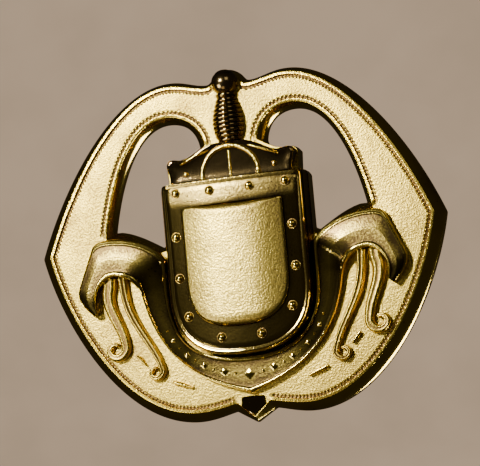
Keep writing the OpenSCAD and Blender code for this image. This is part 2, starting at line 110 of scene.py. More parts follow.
def finer(values: Array, times: int) -> Array:
    """A run of values with more steps: Catmull-Rom curves through all of them.

    Args:
        values: Rows of numbers along an open run.
        times: New steps for each old one.

    Returns:
        (len - 1) * times + 1 rows.
    """
    padded = np.vstack([2 * values[0] - values[1], values, 2 * values[-1] - values[-2]])
    where = np.arange((len(values) - 1) * times + 1) / times
    i = np.minimum(where.astype(int), len(values) - 2)
    t = (where - i)[:, None]
    p0, p1, p2, p3 = (padded[i + k] for k in range(4))
    bend, turn = 2 * p0 - 5 * p1 + 4 * p2 - p3, 3 * p1 - 3 * p2 + p3 - p0
    return 0.5 * (2 * p1 + (p2 - p0) * t + bend * t**2 + turn * t**3)


def across(path: Array, closed: bool = False) -> Array:
    """Unit directions to the left of a path, from the step between its neighbours."""
    if closed:
        step = np.roll(path, -1, 0) - np.roll(path, 1, 0)
    else:
        step = np.gradient(path, axis=0)
    step = step / np.maximum(np.linalg.norm(step, axis=1, keepdims=True), 1e-9)
    return np.stack([-step[:, 1], step[:, 0]], 1)


def nearest(points: Array, loop: Array) -> Array:
    """Distance from each point to the nearest point of a loop, a thousand points at a time."""
    parts = [np.zeros(0)]
    for k in range(0, len(points), CHUNK):
        parts.append(np.sqrt(((points[k : k + CHUNK, None] - loop) ** 2).sum(2)).min(1))
    return np.concatenate(parts)


def inset(loop: Array, distance: float) -> Array:
    """A closed loop moved to its left, with the loops that form at corners drawn to a point.

    Args:
        loop: Points of a closed loop.
        distance: Distance to the left.

    Returns:
        The moved loop, matched point by point.
    """
    moved = loop + across(loop, True) * distance
    good = nearest(moved, loop) > abs(distance) * 0.97 - 0.004
    if good.all() or not good.any():
        return moved
    count = len(loop)
    tiled, index = np.tile(good, 3), np.arange(3 * count)
    before = np.maximum.accumulate(np.where(tiled, index, 0))
    after = np.minimum.accumulate(np.where(tiled, index, 3 * count - 1)[::-1])[::-1]
    before, after = (run[count : 2 * count] % count for run in (before, after))
    return np.where(good[:, None], moved, 0.5 * (moved[before] + moved[after]))


def lower_of(a: Array, b: Array, sharpness: float = 14.0) -> Array:
    """The lower of two heights with the corner between them rounded: -log(e^-ka + e^-kb) / k."""
    return -np.logaddexp(-sharpness * a, -sharpness * b) / sharpness


def inside(points: Array, loops: list[Array]) -> Array:
    """True for each point that an odd number of loop crossings puts inside the loops."""
    odd = np.zeros(len(points), bool)
    x, z = points[:, 0], points[:, 1]
    for loop in loops:
        a, b = loop, np.roll(loop, -1, 0)
        for k in range(0, len(loop), 400):
            p, q = a[None, k : k + 400], b[None, k : k + 400]
            span = (p[..., 1] > z[:, None]) != (q[..., 1] > z[:, None])
            rise = np.where(q[..., 1] == p[..., 1], 1e-9, q[..., 1] - p[..., 1])
            cross = p[..., 0] + (z[:, None] - p[..., 1]) * (q[..., 0] - p[..., 0]) / rise
            odd ^= ((span & (x[:, None] < cross)).sum(1) % 2).astype(bool)
    return odd


# ---------- meshes ----------


def at(loop: Array, height: Any) -> Array:
    """A flat loop set at a height, or at one height for each of its points."""
    return np.column_stack([loop, np.broadcast_to(height, len(loop))])


def quads(rows: int, cols: int, round_rows: bool = False, round_cols: bool = True) -> Array:
    """The four point numbers of each face of a grid, whose last row or column may join the first."""
    r = np.arange(rows if round_rows else rows - 1)[:, None]
    c = np.arange(cols if round_cols else cols - 1)
    here, there, right = r * cols, (r + 1) % rows * cols, (c + 1) % cols
    corners = (here + c, here + right, there + right, there + c)
    return np.stack(np.broadcast_arrays(*corners), -1).reshape(-1, 4)


class Shell:
    """Grids and flat fills of points (x, up the sword, out of the face) that become one closed mesh."""

    def __init__(self) -> None:
        """Starts an empty shell."""
        self.points: list[Array] = []
        self.traces: list[Array] = []
        self.faces: list[tuple[int, ...]] = []
        self.count = 0

    def _keep(self, points: Array, trace: Array) -> int:
        """Adds points with their wear, their dirt and painted shade, and their polish, and returns the number
        of the first.
        """
        start = self.count
        self.points.append(points.reshape(-1, 3))
        self.traces.append(np.broadcast_to(trace, points.shape).reshape(-1, 3))
        self.count += len(self.points[-1])
        return start

    def grid(
        self,
        points: Array,
        trace: Any = (0, 0, 0),
        round_rows: bool = False,
        round_cols: bool = True,
        caps: bool = False,
    ) -> "Shell":
        """A sheet of four-sided faces over a grid of points.

        Args:
            points: Rows of columns of points.
            trace: Wear, dirt with painted shade, and polish, for all or for each point.
            round_rows: Whether the last row joins the first.
            round_cols: Whether the last column joins the first.
            caps: Whether the first and last rows are closed with a fan.

        Returns:
            This shell.
        """
        rows, cols = points.shape[:2]
        trace = np.broadcast_to(np.asarray(trace, float), points.shape)
        start = self._keep(points, trace)
        self.faces += map(tuple, (quads(rows, cols, round_rows, round_cols) + start).tolist())
        if caps:
            for row, turn in ((0, -1), (rows - 1, 1)):
                hub = self._keep(points[row].mean(0, keepdims=True), trace[row].mean(0, keepdims=True))
                ring = start + row * cols + np.arange(cols)
                fan = np.stack([ring, np.roll(ring, -1), np.full(cols, hub)], 1)[:, ::turn]
                self.faces += map(tuple, fan.tolist())
        return self

    def fill(self, loops: list[Array], height: Any, trace: Any = (0, 0, 0), step: float = 0.8) -> "Shell":
        """A flat region between loops, cut into triangles over the loops and a lattice of inner points.

        Args:
            loops: Closed loops; the first bounds the region and the others are holes.
            height: A height, or what gives it from the points and their distances to the loops.
            trace: Wear, dirt with painted shade, and polish for all of it.
            step: Spacing of the inner points.

        Returns:
            This shell.
        """
        rim = np.vstack(loops)
        low, high = loops[0].min(0), loops[0].max(0)
        x, z = np.meshgrid(np.arange(low[0], high[0], step), np.arange(low[1], high[1], step))
        inner = np.stack([x.ravel(), z.ravel()], 1)
        inner = inner[inside(inner, loops)]
        inner = inner[nearest(inner, rim) > 0.4 * step]
        edges, start = [], 0
        for loop in loops:
            ring = start + np.arange(len(loop))
            edges.append(np.column_stack([ring, np.roll(ring, -1)]))
            start += len(loop)
        points = list(map(Vector, np.vstack([rim, inner]).tolist()))
        pairs = list(map(tuple, np.vstack(edges).tolist()))
        made = delaunay_2d_cdt(points, pairs, [], 0, 1e-6)
        flat, tris = np.array(made[0], float), np.array(made[2], int)
        tris = tris[inside(flat[tris].mean(1), loops)]
        up = height(flat, nearest(flat, rim)) if callable(height) else height
        start = self._keep(at(flat, up), np.asarray(trace, float))
        self.faces += map(tuple, (tris + start).tolist())
        return self

    def build(
        self, name: str, body: str, slot: str, look: bpy.types.Material, sharp: float
    ) -> bpy.types.Object:
        """Makes the mesh in the row frame, welds it, turns its faces outwards and hangs it on its body.

        Args:
            name: Name of the piece.
            body: CAD body that it rides on.
            slot: Material slot of the record; not used.
            look: Its material.
            sharp: Corners over this angle, in degrees, stay sharp.

        Returns:
            The finished object.
        """
        local, trace = np.vstack(self.points), np.vstack(self.traces)
        world = np.column_stack([local[:, 0], -local[:, 2], local[:, 1]]) * MM
        mesh = bpy.data.meshes.new(name)
        mesh.from_pydata(world.tolist(), [], self.faces)
        layer = mesh.attributes.new("trace", "FLOAT_VECTOR", "POINT")
        layer.data.foreach_set("vector", np.ascontiguousarray(trace, np.float32).ravel())
        work = bmesh.new()
        work.from_mesh(mesh)
        bmesh.ops.remove_doubles(work, verts=work.verts, dist=4e-7)
        bmesh.ops.dissolve_degenerate(work, dist=1e-7, edges=work.edges)
        bmesh.ops.recalc_face_normals(work, faces=work.faces)
        open_edges = sum(len(edge.link_faces) != 2 for edge in work.edges)
        work.to_mesh(mesh)
        work.free()
        mesh.shade_smooth()
        mesh.set_sharp_from_angle(angle=math.radians(sharp))
        mesh.materials.append(look)
        piece = bpy.data.objects.new(name, mesh)
        bpy.context.scene.collection.objects.link(piece)
        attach(piece, body)
        LOG.info("%s: %d faces, %d open edges", name, len(mesh.polygons), open_edges)
        return piece


def rounded_section(
    half_w: Array, foot: float, top: Array, count: int, fullness: float
) -> tuple[Array, Array]:
    """A section with a rounded top: side = w cos(a)^(2/fullness), rise = sin(a)^(2/fullness).

    Args:
        half_w: Half width at each station.
        foot: Height of the flat underside.
        top: Height of the top at each station.
        count: Points over the top.
        fullness: 2 for an ellipse, more for a fuller form.

    Returns:
        Sideways places and heights, a row for each station.
    """
    a = np.linspace(0, np.pi, count)
    side = np.sign(np.cos(a)) * np.abs(np.cos(a)) ** (2 / fullness)
    rise = np.abs(np.sin(a)) ** (2 / fullness)
    return half_w[:, None] * side[None], foot + (top[:, None] - foot) * rise[None]


def strand(path: Array, sideways: Array, heights: Array) -> Array:
    """Points of a section carried along a path: path + left direction * sideways, at its heights."""
    left = across(path)
    flat = path[:, None] + left[:, None] * sideways[..., None]
    return np.concatenate([flat, heights[..., None]], 2)


def circle(steps: int) -> Array:
    """Angles in equal steps right round."""
    return np.linspace(0, 2 * np.pi, steps, endpoint=False)


def rounds(x: float, z: float, radius: Array, height: Array, angles: Array) -> Array:
    """Rows of points round an axis that points out of the face, from columns of radii and heights."""
    side = x + radius * np.cos(angles)
    return np.stack([side, z + radius * np.sin(angles), np.broadcast_to(height, side.shape)], 2)


def half_round(radius: Array, up: Array, angles: Array) -> Array:
    """Rows of points over the ring's face, round an axis that lies on it and runs up the sword."""
    out = FIELD_H + radius * np.sin(angles)
    return np.stack([radius * np.cos(angles), np.broadcast_to(up, out.shape), out], 2)


def turned_back(profile: Array, steps: int, x: float, z: float, squeeze: Any = 1.0) -> Array:
    """A profile of radius and depth behind the back rim, carried round an axis that runs into the cap."""
    return rounds(x, z, profile[:, :1] * squeeze, -profile[:, 1:2], circle(steps))


# ---------- looks ----------


class Value:
    """A number that changes over a surface; sums on it add their own nodes."""

    def __init__(self, look: "Look", socket: Any) -> None:
        """Wraps a socket of a look."""
        self.look, self.socket = look, socket

    def _sum(self, operation: str, a: Any, b: Any) -> "Value":
        """One step of maths between two values or numbers."""
        node = self.look.node("ShaderNodeMath", {"operation": operation}, {0: a, 1: b})
        return Value(self.look, node.outputs[0])

    def __add__(self, other: Any) -> "Value":
        """self + other."""
        return self._sum("ADD", self, other)

    def __sub__(self, other: Any) -> "Value":
        """self - other."""
        return self._sum("SUBTRACT", self, other)

    def __rsub__(self, other: Any) -> "Value":
        """other - self."""
        return self._sum("SUBTRACT", other, self)

    def __mul__(self, other: Any) -> "Value":
        """self * other."""
        return self._sum("MULTIPLY", self, other)

    __radd__ = __add__
    __rmul__ = __mul__


class Look:
    """One material and the steps that build it."""

    def __init__(self, name: str) -> None:
        """Starts a material with a single metal shader."""
        self.material = bpy.data.materials.new(name)
        self.material.use_nodes = True
        self.tree = self.material.node_tree
        self.tree.nodes.clear()
        self.shader = self.node("ShaderNodeBsdfPrincipled", {}, {"Metallic": 1.0})
        out = self.node("ShaderNodeOutputMaterial", {}, {})
        self.tree.links.new(self.shader.outputs[0], out.inputs["Surface"])
        self.place = self.node("ShaderNodeTexCoord", {}, {}).outputs["Object"]
        trace = self.node("ShaderNodeAttribute", {"attribute_name": "trace"}, {})
        parts = self.node("ShaderNodeSeparateXYZ", {}, {0: trace.outputs["Vector"]})
        # Wear, dirt with painted shade, and polish, from the trace attribute.
        self.wear, self.soil, self.polish = (Value(self, parts.outputs[k]) for k in range(3))

    def node(self, kind: str, settings: dict[str, Any], inputs: dict[Any, Any]) -> Any:
        """Adds a node: its settings first, then the values or links of its sockets.

        Args:
            kind: Node type.
            settings: Attributes; "stops" fills a colour ramp.
            inputs: Socket name or number to a number, colour, socket or Value.

        Returns:
            The node.
        """
        node = self.tree.nodes.new(kind)
        for key, value in settings.items():
            if key == "stops":
                ramp = node.color_ramp
                while len(ramp.elements) < len(value):
                    ramp.elements.new(0.5)
                for element, (position, colour) in zip(ramp.elements, value):
                    element.position, element.color = position, colour
            else:
                setattr(node, key, value)
        for key, value in inputs.items():
            self.feed(node.inputs[key], value)
        return node

    def feed(self, socket: Any, value: Any) -> None:
        """Sets a socket to a number or colour, or links it."""
        if isinstance(value, Value):
            value = value.socket
        if isinstance(value, bpy.types.NodeSocket):
            self.tree.links.new(value, socket)
        else:
            socket.default_value = value

    def noise(self, size: float, detail: float, stretch: tuple[float, float, float] = (1, 1, 1)) -> Value:
        """Soft noise whose grains are about so many millimetres across."""
        scaled = self.node("ShaderNodeMapping", {}, {"Vector": self.place, "Scale": stretch}).outputs[0]
        inputs = {"Vector": scaled, "Scale": 1 / (size * MM), "Detail": detail}
        return Value(self, self.node("ShaderNodeTexNoise", {}, inputs).outputs[0])

    def pits(self, size: float) -> Value:
        """Distance to the nearest of scattered points, so many millimetres apart."""
        node = self.node("ShaderNodeTexVoronoi", {}, {"Vector": self.place, "Scale": 1 / (size * MM)})
        return Value(self, node.outputs["Distance"])

    def ramp(self, value: Any, low: float, high: float) -> Value:
        """0 below low, 1 above high, and a straight rise between."""
        node = self.node("ShaderNodeMapRange", {}, {"Value": value, "From Min": low, "From Max": high})
        return Value(self, node.outputs[0])

    def mixed(self, share: Any, a: Any, b: Any) -> Any:
        """Colour a where share is 0 and b where it is 1."""
        node = self.node("ShaderNodeMix", {"data_type": "RGBA"}, {0: share, 6: a, 7: b})
        return node.outputs[2]

    def raised(self, height: Any, depth: float, below: Any = None) -> Any:
        """A bump of so many millimetres, on top of an earlier one."""
        inputs = {"Height": height, "Distance": depth * MM, "Strength": 1.0}
        if below is not None:
            inputs["Normal"] = below
        return self.node("ShaderNodeBump", {}, inputs).outputs[0]


Colour = tuple[float, float, float, float]


class Grain(Enum):
    """How a surface was worked before it was gilt."""

    STIPPLED = 0.2
    DRAWN = 0.09


@dataclass(frozen=True)
class Gilt:
    """A gilt finish.

    Attributes:
        name: Name of the material.
        bright: Colour of clean gilding.
        dull: Colour of tarnish and of the painted shade in the hollows.
        rough: Roughness of grained faces.
        smooth: Roughness of polished faces.
        grain: How the surface was worked.
        relief: Depth of the grain, in millimetres.
        speckle: Share of dark speckles.
    """

    name: str
    bright: Colour
    dull: Colour
    rough: float
    smooth: float
    grain: Grain
    relief: float
    speckle: float

    def material(self) -> bpy.types.Material:
        """Builds the material: grain and scratches in the bump; tarnish, speckles and painted shade in the
        colour.

        Returns:
            The material.
        """
        look = Look(self.name)
        fine = look.noise(self.grain.value, 3.0)
        patch = look.noise(2.6, 3.0)
        cloud = look.noise(7.0, 2.0)
        scratch = look.noise(0.09, 2.0, (1.0, 1.0, 0.08))
        open_face = 1 - look.polish
        dots = (1 - look.ramp(look.pits(0.42), 0.10, 0.24)) * look.ramp(patch, 0.42, 0.62) * self.speckle
        tarnish = look.ramp(cloud * 0.6 + patch * 0.4, 0.46, 0.7) * 0.4
        speck = (1 - look.ramp(fine, 0.38, 0.62)) * (open_face * 0.42 + 0.05)
        # Painted shade: the second trace value darkens grooves, hollows and the feet of raised parts, and goes
        # into the colour here with the tarnish, speckles and grain.
        grime_and_shade = look.soil + dots * (1 - look.wear) + (tarnish + speck) * (1 - look.wear * 0.7)
        dirt_and_shade = look.ramp(grime_and_shade, 0.0, 1.0)
        colour = look.mixed(dirt_and_shade, self.bright, self.dull)
        look.feed(look.shader.inputs["Base Color"], colour)
        base = look.polish * (self.smooth - self.rough) + self.rough
        rough = base + ((fine - 0.5) * 0.2 + dirt_and_shade * 0.14) * open_face + dirt_and_shade * 0.02 - look.wear * 0.03
        look.feed(look.shader.inputs["Roughness"], look.ramp(rough, 0.0, 1.0))
        grains = look.raised(fine * (open_face * 0.85 + 0.15), self.relief)
        marks = look.raised(scratch, 0.002, grains)
        look.feed(look.shader.inputs["Normal"], look.raised(patch, 0.02, marks))
        return look.material


# ---------- the ring ----------


@dataclass(frozen=True)
class Ring:
    """The open ring: outline, raised edge, groove, grained face, sloping sides and hollow back."""

    rim_step: float = 0.12
    groove_d: float = 0.16
    wall_w: float = 1.1
    crown: float = 0.07
    bead_pitch: float = 0.42
    bead_h: float = 0.07

    def half(self, grow: float) -> Array:
        """Right half of the outline, from crown to tip; grow is 0 at the face and 1 at the back."""
        side = np.array([21.4 + 1.1 * grow, 0])
        shoulder = [18.6 + 0.9 * grow, 7.4 + 0.6 * grow]
        lobe = np.array([6.5, 17 + 0.55 * grow])
        notch = np.array([2.3 + 0.2 * grow, 16.3 + 0.5 * grow])
        crown, crown_z, spread = 1.55 + 0.5 * grow, 16.15, 35
        low = np.array([6 + 0.3 * grow, -18.5 - 0.9 * grow])
        gap = np.array([1.8 + 0.4 * grow, -17.9 - 0.8 * grow])
        a = np.radians(np.linspace(90, spread, 24, endpoint=False))
        end = np.radians(spread)
        start = np.array([crown * np.cos(end), crown_z + crown * np.sin(end)])
        return np.vstack([
            np.stack([crown * np.cos(a), crown_z + crown * np.sin(a)], 1),
            cubic(start, [1.6 + 0.4 * grow, 16.5 + 0.4 * grow], notch - [0.35, 0], notch, 16),
            cubic(notch, notch + [1.3, 0.05], lobe - [1.6, 0], lobe, 40),
            cubic(lobe, [12.6 + 0.4 * grow, lobe[1] + 0.1], shoulder, side, 160),
            cubic(side, [19.9 + grow, -7.5 - 0.4 * grow], [14 + 0.6 * grow, low[1]], low, 160),
            cubic(low, low - [1.7, 0], gap + [0.7, -0.1], gap, 40),
            np.linspace(gap, [0, -19.55 - 0.5 * grow], 24, endpoint=True),
        ])

    def outline(self, grow: float) -> Array:
        """The whole outline, down the left side and up the right, so that the metal lies to its left."""
        half = self.half(grow)
        return np.vstack([mirrored(half[:-1]), half[:0:-1]])

    def hole(self, grow: float) -> Array:
        """The right hole, from the hilt over the lobe and back along the scroll, shield and guard."""
        near = np.array([2.9 + 0.85 * grow, 10.1 - 0.1 * grow])
        top = np.array([7.0 + 0.1 * grow, 13.65 - 0.6 * grow])
        far = np.array([14.85 - 0.8 * grow, 1.2 + 0.75 * grow])
        nook, heel = [13.6 - 0.3 * grow, 1.15 + 0.8 * grow], [8.75, -0.9 + 0.65 * grow]
        edge, quillon = 8.2, 7.2 + 0.1 * grow
        rest = [
            [edge, -0.75 + 0.75 * grow],
            [edge, 5.7],
            [edge - 0.3, 6.15],
            [quillon, 6.3],
            [quillon + 0.12, 8.35],
            [quillon - 0.3, 8.85],
            [quillon - 1.2, 8.75],
            [4.9, 9.0],
            [3.9, 9.5],
        ]
        corners = np.array(rest + [near.tolist()], float)
        straight = [np.linspace(p, q, 12, endpoint=False) for p, q in zip(corners[:-1], corners[1:])]
        return np.vstack([
            cubic(near, [3.1 + 0.85 * grow, 12.2 - 0.3 * grow], [4.9 + 0.3 * grow, top[1]], top, 60),
            cubic(top, [11.2 - 0.5 * grow, top[1]], [13.7 - 0.7 * grow, 7.6], far, 120),
            np.linspace(far, nook, 12, endpoint=False),
            cubic(nook, [11.6, 0.7 + 0.9 * grow], [10.2, 0.1 + 0.5 * grow], heel, 50),
            np.linspace(heel, rest[0], 6, endpoint=False),
            *straight,
        ])

    def band(self, shell: Shell, face: Array, back: Array, edged: Array) -> tuple[Array, Array]:
        """One closed band: up the inner wall of the hollow, round the foot, over the side, edge and groove.

        Args:
            shell: Where it is added.
            face: Loop at the face, with the metal to its left.
            back: The matched loop at the back.
            edged: 1 where the edge is raised and 0 where it is plain.

        Returns:
            The loops that bound the hollow's ceiling and the grained face.
        """
        rim_h, low = FIELD_H + self.rim_step, FIELD_H - self.groove_d
        wall = inset(back, self.wall_w)
        # Painted shade: the fourth number of each row darkens the hollow behind the face, and the sloping side
        # darker towards its foot.
        rows = [
            (wall, FIELD_H - SHEET_T, 0, 0.5, 0),
            (wall, 0.1, 0.2, 0.3, 0),
            (inset(back, self.wall_w - 0.1), 0.0, 0.3, 0.1, 0.5),
            (inset(back, 0.06), 0.0, 0.5, 0, 0.8),
            (back, 0.06, 0.6, 0, 1),
            (back, 0.25 * rim_h, 0.1, 0.25, 1),
        ]
        for t in (0.12, 0.25, 0.4, 0.55, 0.7, 0.82, 0.91, 0.97):
            flare = (1 - t**2.2) ** 1.3
            rows.append((face + flare * (back - face), rim_h * (0.25 + 0.75 * t), 0.1, 0.35 - 0.3 * t, 1))
        rows.append((face, rim_h - 0.03, 0.9, 0, 0.4))
        grid, traces = [], []
        for loop, height, *mark in rows:
            grid.append(at(loop, height))
            traces.append(np.broadcast_to(mark, grid[-1].shape))
        along = np.cumsum(np.linalg.norm(np.roll(face, -1, 0) - face, axis=1))
        turns = round(along[-1] / self.bead_pitch)
        bead = 0.5 + 0.5 * np.cos(2 * np.pi * turns * along / along[-1])
        # Painted shade: the fourth numbers here darken the groove inside the raised edge; the beads take less
        # of it than the gaps between them.
        for distance, height, wear, soil, polish in (
            (0.05, rim_h, 1, 0, 0.2),
            (0.31, rim_h, 1, 0, 0.2),
            (0.355, rim_h - 0.04, 0.7, 0.1, 0.8),
            (0.39, low + 0.03, 0, 1, 0.4),
            (0.44, low, 0, 0.85, 0.2),
            (0.6, low, 0, 0.7, 0.2),
            (0.66, low + 0.02, 0, 1, 0.2),
            (0.70, low + 0.10, 0.2, 0.5, 0.3),
            (0.76, FIELD_H - 0.01, 0.8, 0, 0.3),
            (0.84, FIELD_H, 0.2, 0.05, 0),
            (0.95, FIELD_H, 0, 0, 0),
        ):
            dot = bead * (0.58 < distance < 0.72)
            up = FIELD_H + (height + self.bead_h * dot - FIELD_H) * edged
            grid.append(at(inset(face, distance), up))
            mark = [0 * dot + wear, np.clip(soil - 0.35 * dot, 0, 1), 0 * dot + polish]
            traces.append(np.column_stack(mark) * edged[:, None])
        shell.grid(np.stack(grid), np.stack(traces))
        return wall, grid[-1][:, :2]

    def build(self, look: bpy.types.Material) -> None:
        """Makes the ring from three bands, the grained face between them and the ceiling of the hollow."""
        shell = Shell()
        face, back = evenly([self.outline(0), self.outline(1)], 1500)
        x, z = face.T
        crown_gap = np.hypot(x, z - 16.55) - 1.8
        tip_gap = np.where(z < -15, np.abs(x) - 2.0, 9.0)
        edged = np.clip(np.minimum(crown_gap, tip_gap) / 0.25 + 0.5, 0, 1)
        bands = [self.band(shell, face, back, edged)]
        face, back = evenly([self.hole(0), self.hole(1)], 700)
        x, z = face.T
        edged = np.clip(np.where(x < 9, z - 10.0, z - 1.4) / 0.5, 0, 1)
        bands.append(self.band(shell, face, back, edged))
        bands.append(self.band(shell, mirrored(face)[::-1], mirrored(back)[::-1], edged[::-1]))
        walls, fields = (list(loops) for loops in zip(*bands))
        shell.fill(fields, lambda p, gap: FIELD_H + self.crown * (1 - np.exp(-gap / 1.1)))
        # Painted shade on the ceiling of the hollow behind the face.
        shell.fill(walls, FIELD_H - SHEET_T, (0, 0.35, 0))
        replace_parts(shell.build("ring", "badge", "gilt_satin", look, 35), "ring_frame")


# ---------- the shield ----------


@dataclass(frozen=True)
class Shield:
    """The shield: a bowed border with domed rivets, round a raised middle."""

    half_w: float = 7.65
    border_w: float = 2.05
    face_h: float = 4.35
    bow_r: float = 34.0
    top: float = 6.1
    foot: float = -12.8
    turn: float = -5.0
    fullness: float = 2.6
    boss_step: float = 0.6
    boss_bow_r: float = 18.0
    boss_foot: float = -9.9
    boss_turn: float = -4.3
    corner_r: float = 0.35
    rivet_r: float = 0.55
    rivet_h: float = 0.4

    def outline(self, w: float, top: float, foot: float, turn: float) -> Array:
        """A U: straight sides above the turn, and below it |x/w|^2.6 + |z/depth|^2.6 = 1."""
        a, corner = np.radians(np.linspace(0, 90, 60)), self.corner_r
        power = 2 / self.fullness
        quarter = np.stack([w * np.cos(a) ** power, turn + (foot - turn) * np.sin(a) ** power], 1)
        sweep = np.radians(np.linspace(0, 90, 10))[:, None]
        bend = [w - corner, top - corner] + corner * np.hstack([np.cos(sweep), np.sin(sweep)])
        side = np.linspace([w, turn], [w, top - corner], 40, endpoint=False)
        right = np.vstack([quarter[::-1][:-1], side, bend])
        return np.vstack([right, mirrored(right)[::-1][:-1]])

    def bow(self, x: Array, radius: float, middle: float) -> Array:
        """Height of a face that bows from side to side: middle - r + sqrt(r^2 - x^2)."""
        return middle - radius + np.sqrt(radius**2 - x**2)

    def crest(self, x: Array) -> Array:
        """Height of the border's bowed face."""
        return self.bow(x, self.bow_r, self.face_h)

    def plate(self, look: bpy.types.Material) -> None:
        """The border: sloping sides, a rounded shoulder, a thin bead inside it and the bowed face."""
        shell = Shell()
        w, top, foot, turn = self.half_w, self.top, self.foot, self.turn
        loops = [
            self.outline(w + 0.5, top + 0.06, foot - 0.2, turn),
            self.outline(w + 0.14, top, foot - 0.06, turn),
            self.outline(w - 0.06, top - 0.12, foot + 0.08, turn),
            self.outline(w - self.border_w + 0.03, top - 2.72, self.boss_foot - 0.03, self.boss_turn),
        ]
        outer, waist, face, inner = evenly(loops, 640, 1)
        rows, traces = [], []

        def row(loop: Array, height: Array, wear: float, soil: float, polish: float) -> None:
            """Adds one loop of the grid; its upper part loses polish towards the guard."""
            rows.append(at(loop, height))
            near_guard = np.clip((loop[:, 1] - 3.4) / 0.8, 0, 1) * (height > FIELD_H + 1.8)
            shine = polish * (1 - 0.85 * near_guard)
            traces.append(np.column_stack([0 * shine + wear, 0 * shine + soil, shine]))

        # Painted shade: the fourth argument darkens the foot of the border and its sides towards their foot.
        row(inner, FIELD_H, 0, 0.6, 0)
        row(outer, FIELD_H, 0, 0.6, 1)
        for t in (0.3, 0.6, 0.85):
            height = FIELD_H + t * (self.face_h - 1.2 - FIELD_H)
            row(outer + t * (waist - outer), height, 0, 0.5 - 0.4 * t, 1)
        for t in (0.0, 0.25, 0.5, 0.75, 0.9, 1.0):
            loop = waist + t * (face - waist)
            drop = 0.16 * (1 - t) ** 0.6 + 0.5 * (1 - t) ** 3
            row(loop, self.crest(loop[:, 0]) - drop, 0.2 + 0.7 * t, 0, 1)
        inward = inner - face
        reach = np.linalg.norm(inward, axis=1, keepdims=True)
        # Painted shade in the groove beside the bead.
        for distance, drop, wear, soil in (
            (0.1, 0.0, 0.8, 0),
            (0.3, 0.02, 0.3, 0),
            (0.4, 0.07, 0, 0.5),
            (0.5, 0.07, 0, 0.4),
            (0.62, 0.03, 0.1, 0.1),
        ):
            loop = face + inward / reach * distance
            row(loop, self.crest(loop[:, 0]) - drop, wear, soil, 0.9)
        # Painted shade, darker towards the inner edge where the raised middle stands.
        for t in (0.4, 0.6, 0.8, 0.95, 1.0):
            loop = face + inward * t
            row(loop, self.crest(loop[:, 0]) - 0.03, 0, 0.15 + 0.5 * t**6, 0.85)
        shell.grid(np.stack(rows), np.stack(traces), round_rows=True)
        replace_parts(shell.build("shield", "badge", "gilt_polished_dark", look, 50), "shield_plate")

    def boss(self, look: bpy.types.Material) -> None:
        """The raised middle: a low wall, a rounded shoulder and a face that swells towards its middle."""
        shell = Shell()
        boss_w, boss_top = self.half_w - self.border_w, self.top - 2.75
        edge_h, crest = self.face_h - 0.35, self.face_h + self.boss_step
        base = self.outline(boss_w, boss_top, self.boss_foot, self.boss_turn)
        rim = self.outline(boss_w - 1.0, boss_top - 1.0, self.boss_foot + 1.0, self.boss_turn)
        base, rim = evenly([base, rim], 560, 1)
        # Painted shade: the fourth number of these marks darkens the foot of the raised middle's wall.
        rows, traces = [at(base, FIELD_H)], [np.tile([0, 0.5, 0], (len(base), 1))]
        for depth, rise, *mark in (
            (0.0, 0.1, 0, 0.9, 0.3),
            (0.02, 0.22, 0.6, 0.2, 0.9),
            (0.08, 0.34, 1, 0, 1),
            (0.16, 0.44, 0.7, 0, 0.6),
            (0.28, 0.58, 0.2, 0.1, 0.1),
            (0.45, 0.72, 0, 0.2, 0),
            (0.7, 0.84, 0, 0.12, 0),
            (1.0, 0.9, 0, 0.05, 0),
        ):
            loop, height = base + (rim - base) * depth, edge_h + rise
            cap = self.bow(loop[:, 0], self.boss_bow_r, crest)
            rows.append(at(loop, lower_of(cap, height) if depth else height))
            traces.append(np.tile(mark, (len(loop), 1)))
        shell.grid(np.stack(rows), np.stack(traces))
        last = rows[-1]
        cap_h, limit = last[:, 2].max(), crest - 0.02

        def swell(p: Array, gap: Array) -> Array:
            """The shoulder's height, rising towards the middle under the bow of the face."""
            on_rim = gap < 1e-4
            rise = cap_h + (limit - cap_h) * (1 - np.exp(-gap / 2.2))
            up = lower_of(rise, self.bow(p[:, 0], self.boss_bow_r, crest))
            up[on_rim] = last[((p[on_rim][:, None] - last[:, :2]) ** 2).sum(2).argmin(1), 2]
            return up

        shell.fill([last[:, :2]], swell, step=0.5)
        shell.fill([base], FIELD_H, (0, 0.5, 0), 3.0)
        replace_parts(shell.build("shield_middle", "badge", "gilt_bright", look, 50), "shield_boss")

    def rivets(self, look: bpy.types.Material) -> None:
        """Twelve domed rivets, each with a low collar: the dome is a quarter of an ellipse turned round."""
        shell = Shell()
        w, top, border = self.half_w, self.top, self.border_w
        places = [(w - 0.78 * border, top - 1.1), (2.2, top - 1.25), (w - 0.61 * border, 0.3)]
        places += [(w - 0.61 * border, -4.15), (w - 0.95 * border, -8.35), (2.2, -10.95)]
        r, collar_h = self.rivet_r, 0.06
        t = np.linspace(0, np.pi / 2, 9)[:-1]
        radius = np.concatenate([[r - 0.03, r, r, r - 0.05], (r - 0.1) * np.cos(t)])[:, None]
        dome = collar_h + (self.rivet_h - collar_h) * np.sin(t)
        height = np.concatenate([[-1.0, -1.0, 0.03, collar_h], dome])[:, None]
        # Painted shade round each rivet's foot and on the lower part of its dome, through the middle column.
        shine = np.column_stack([0.2 + 0.8 * np.sin(t), 0.25 * np.cos(t), 0 * t + 1])
        marks = np.vstack([[[0, 0.8, 0]] * 3, [[0, 0.7, 0.5]], shine])[:, None]
        for x, z in places:
            for side in (1, -1):
                rivet = rounds(side * x, z, radius, self.crest(x) + height, circle(28))
                shell.grid(rivet, marks, caps=True)
        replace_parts(shell.build("rivets", "badge", "gilt_satin", look, 60), "shield_rivets")


# ---------- the sword ----------


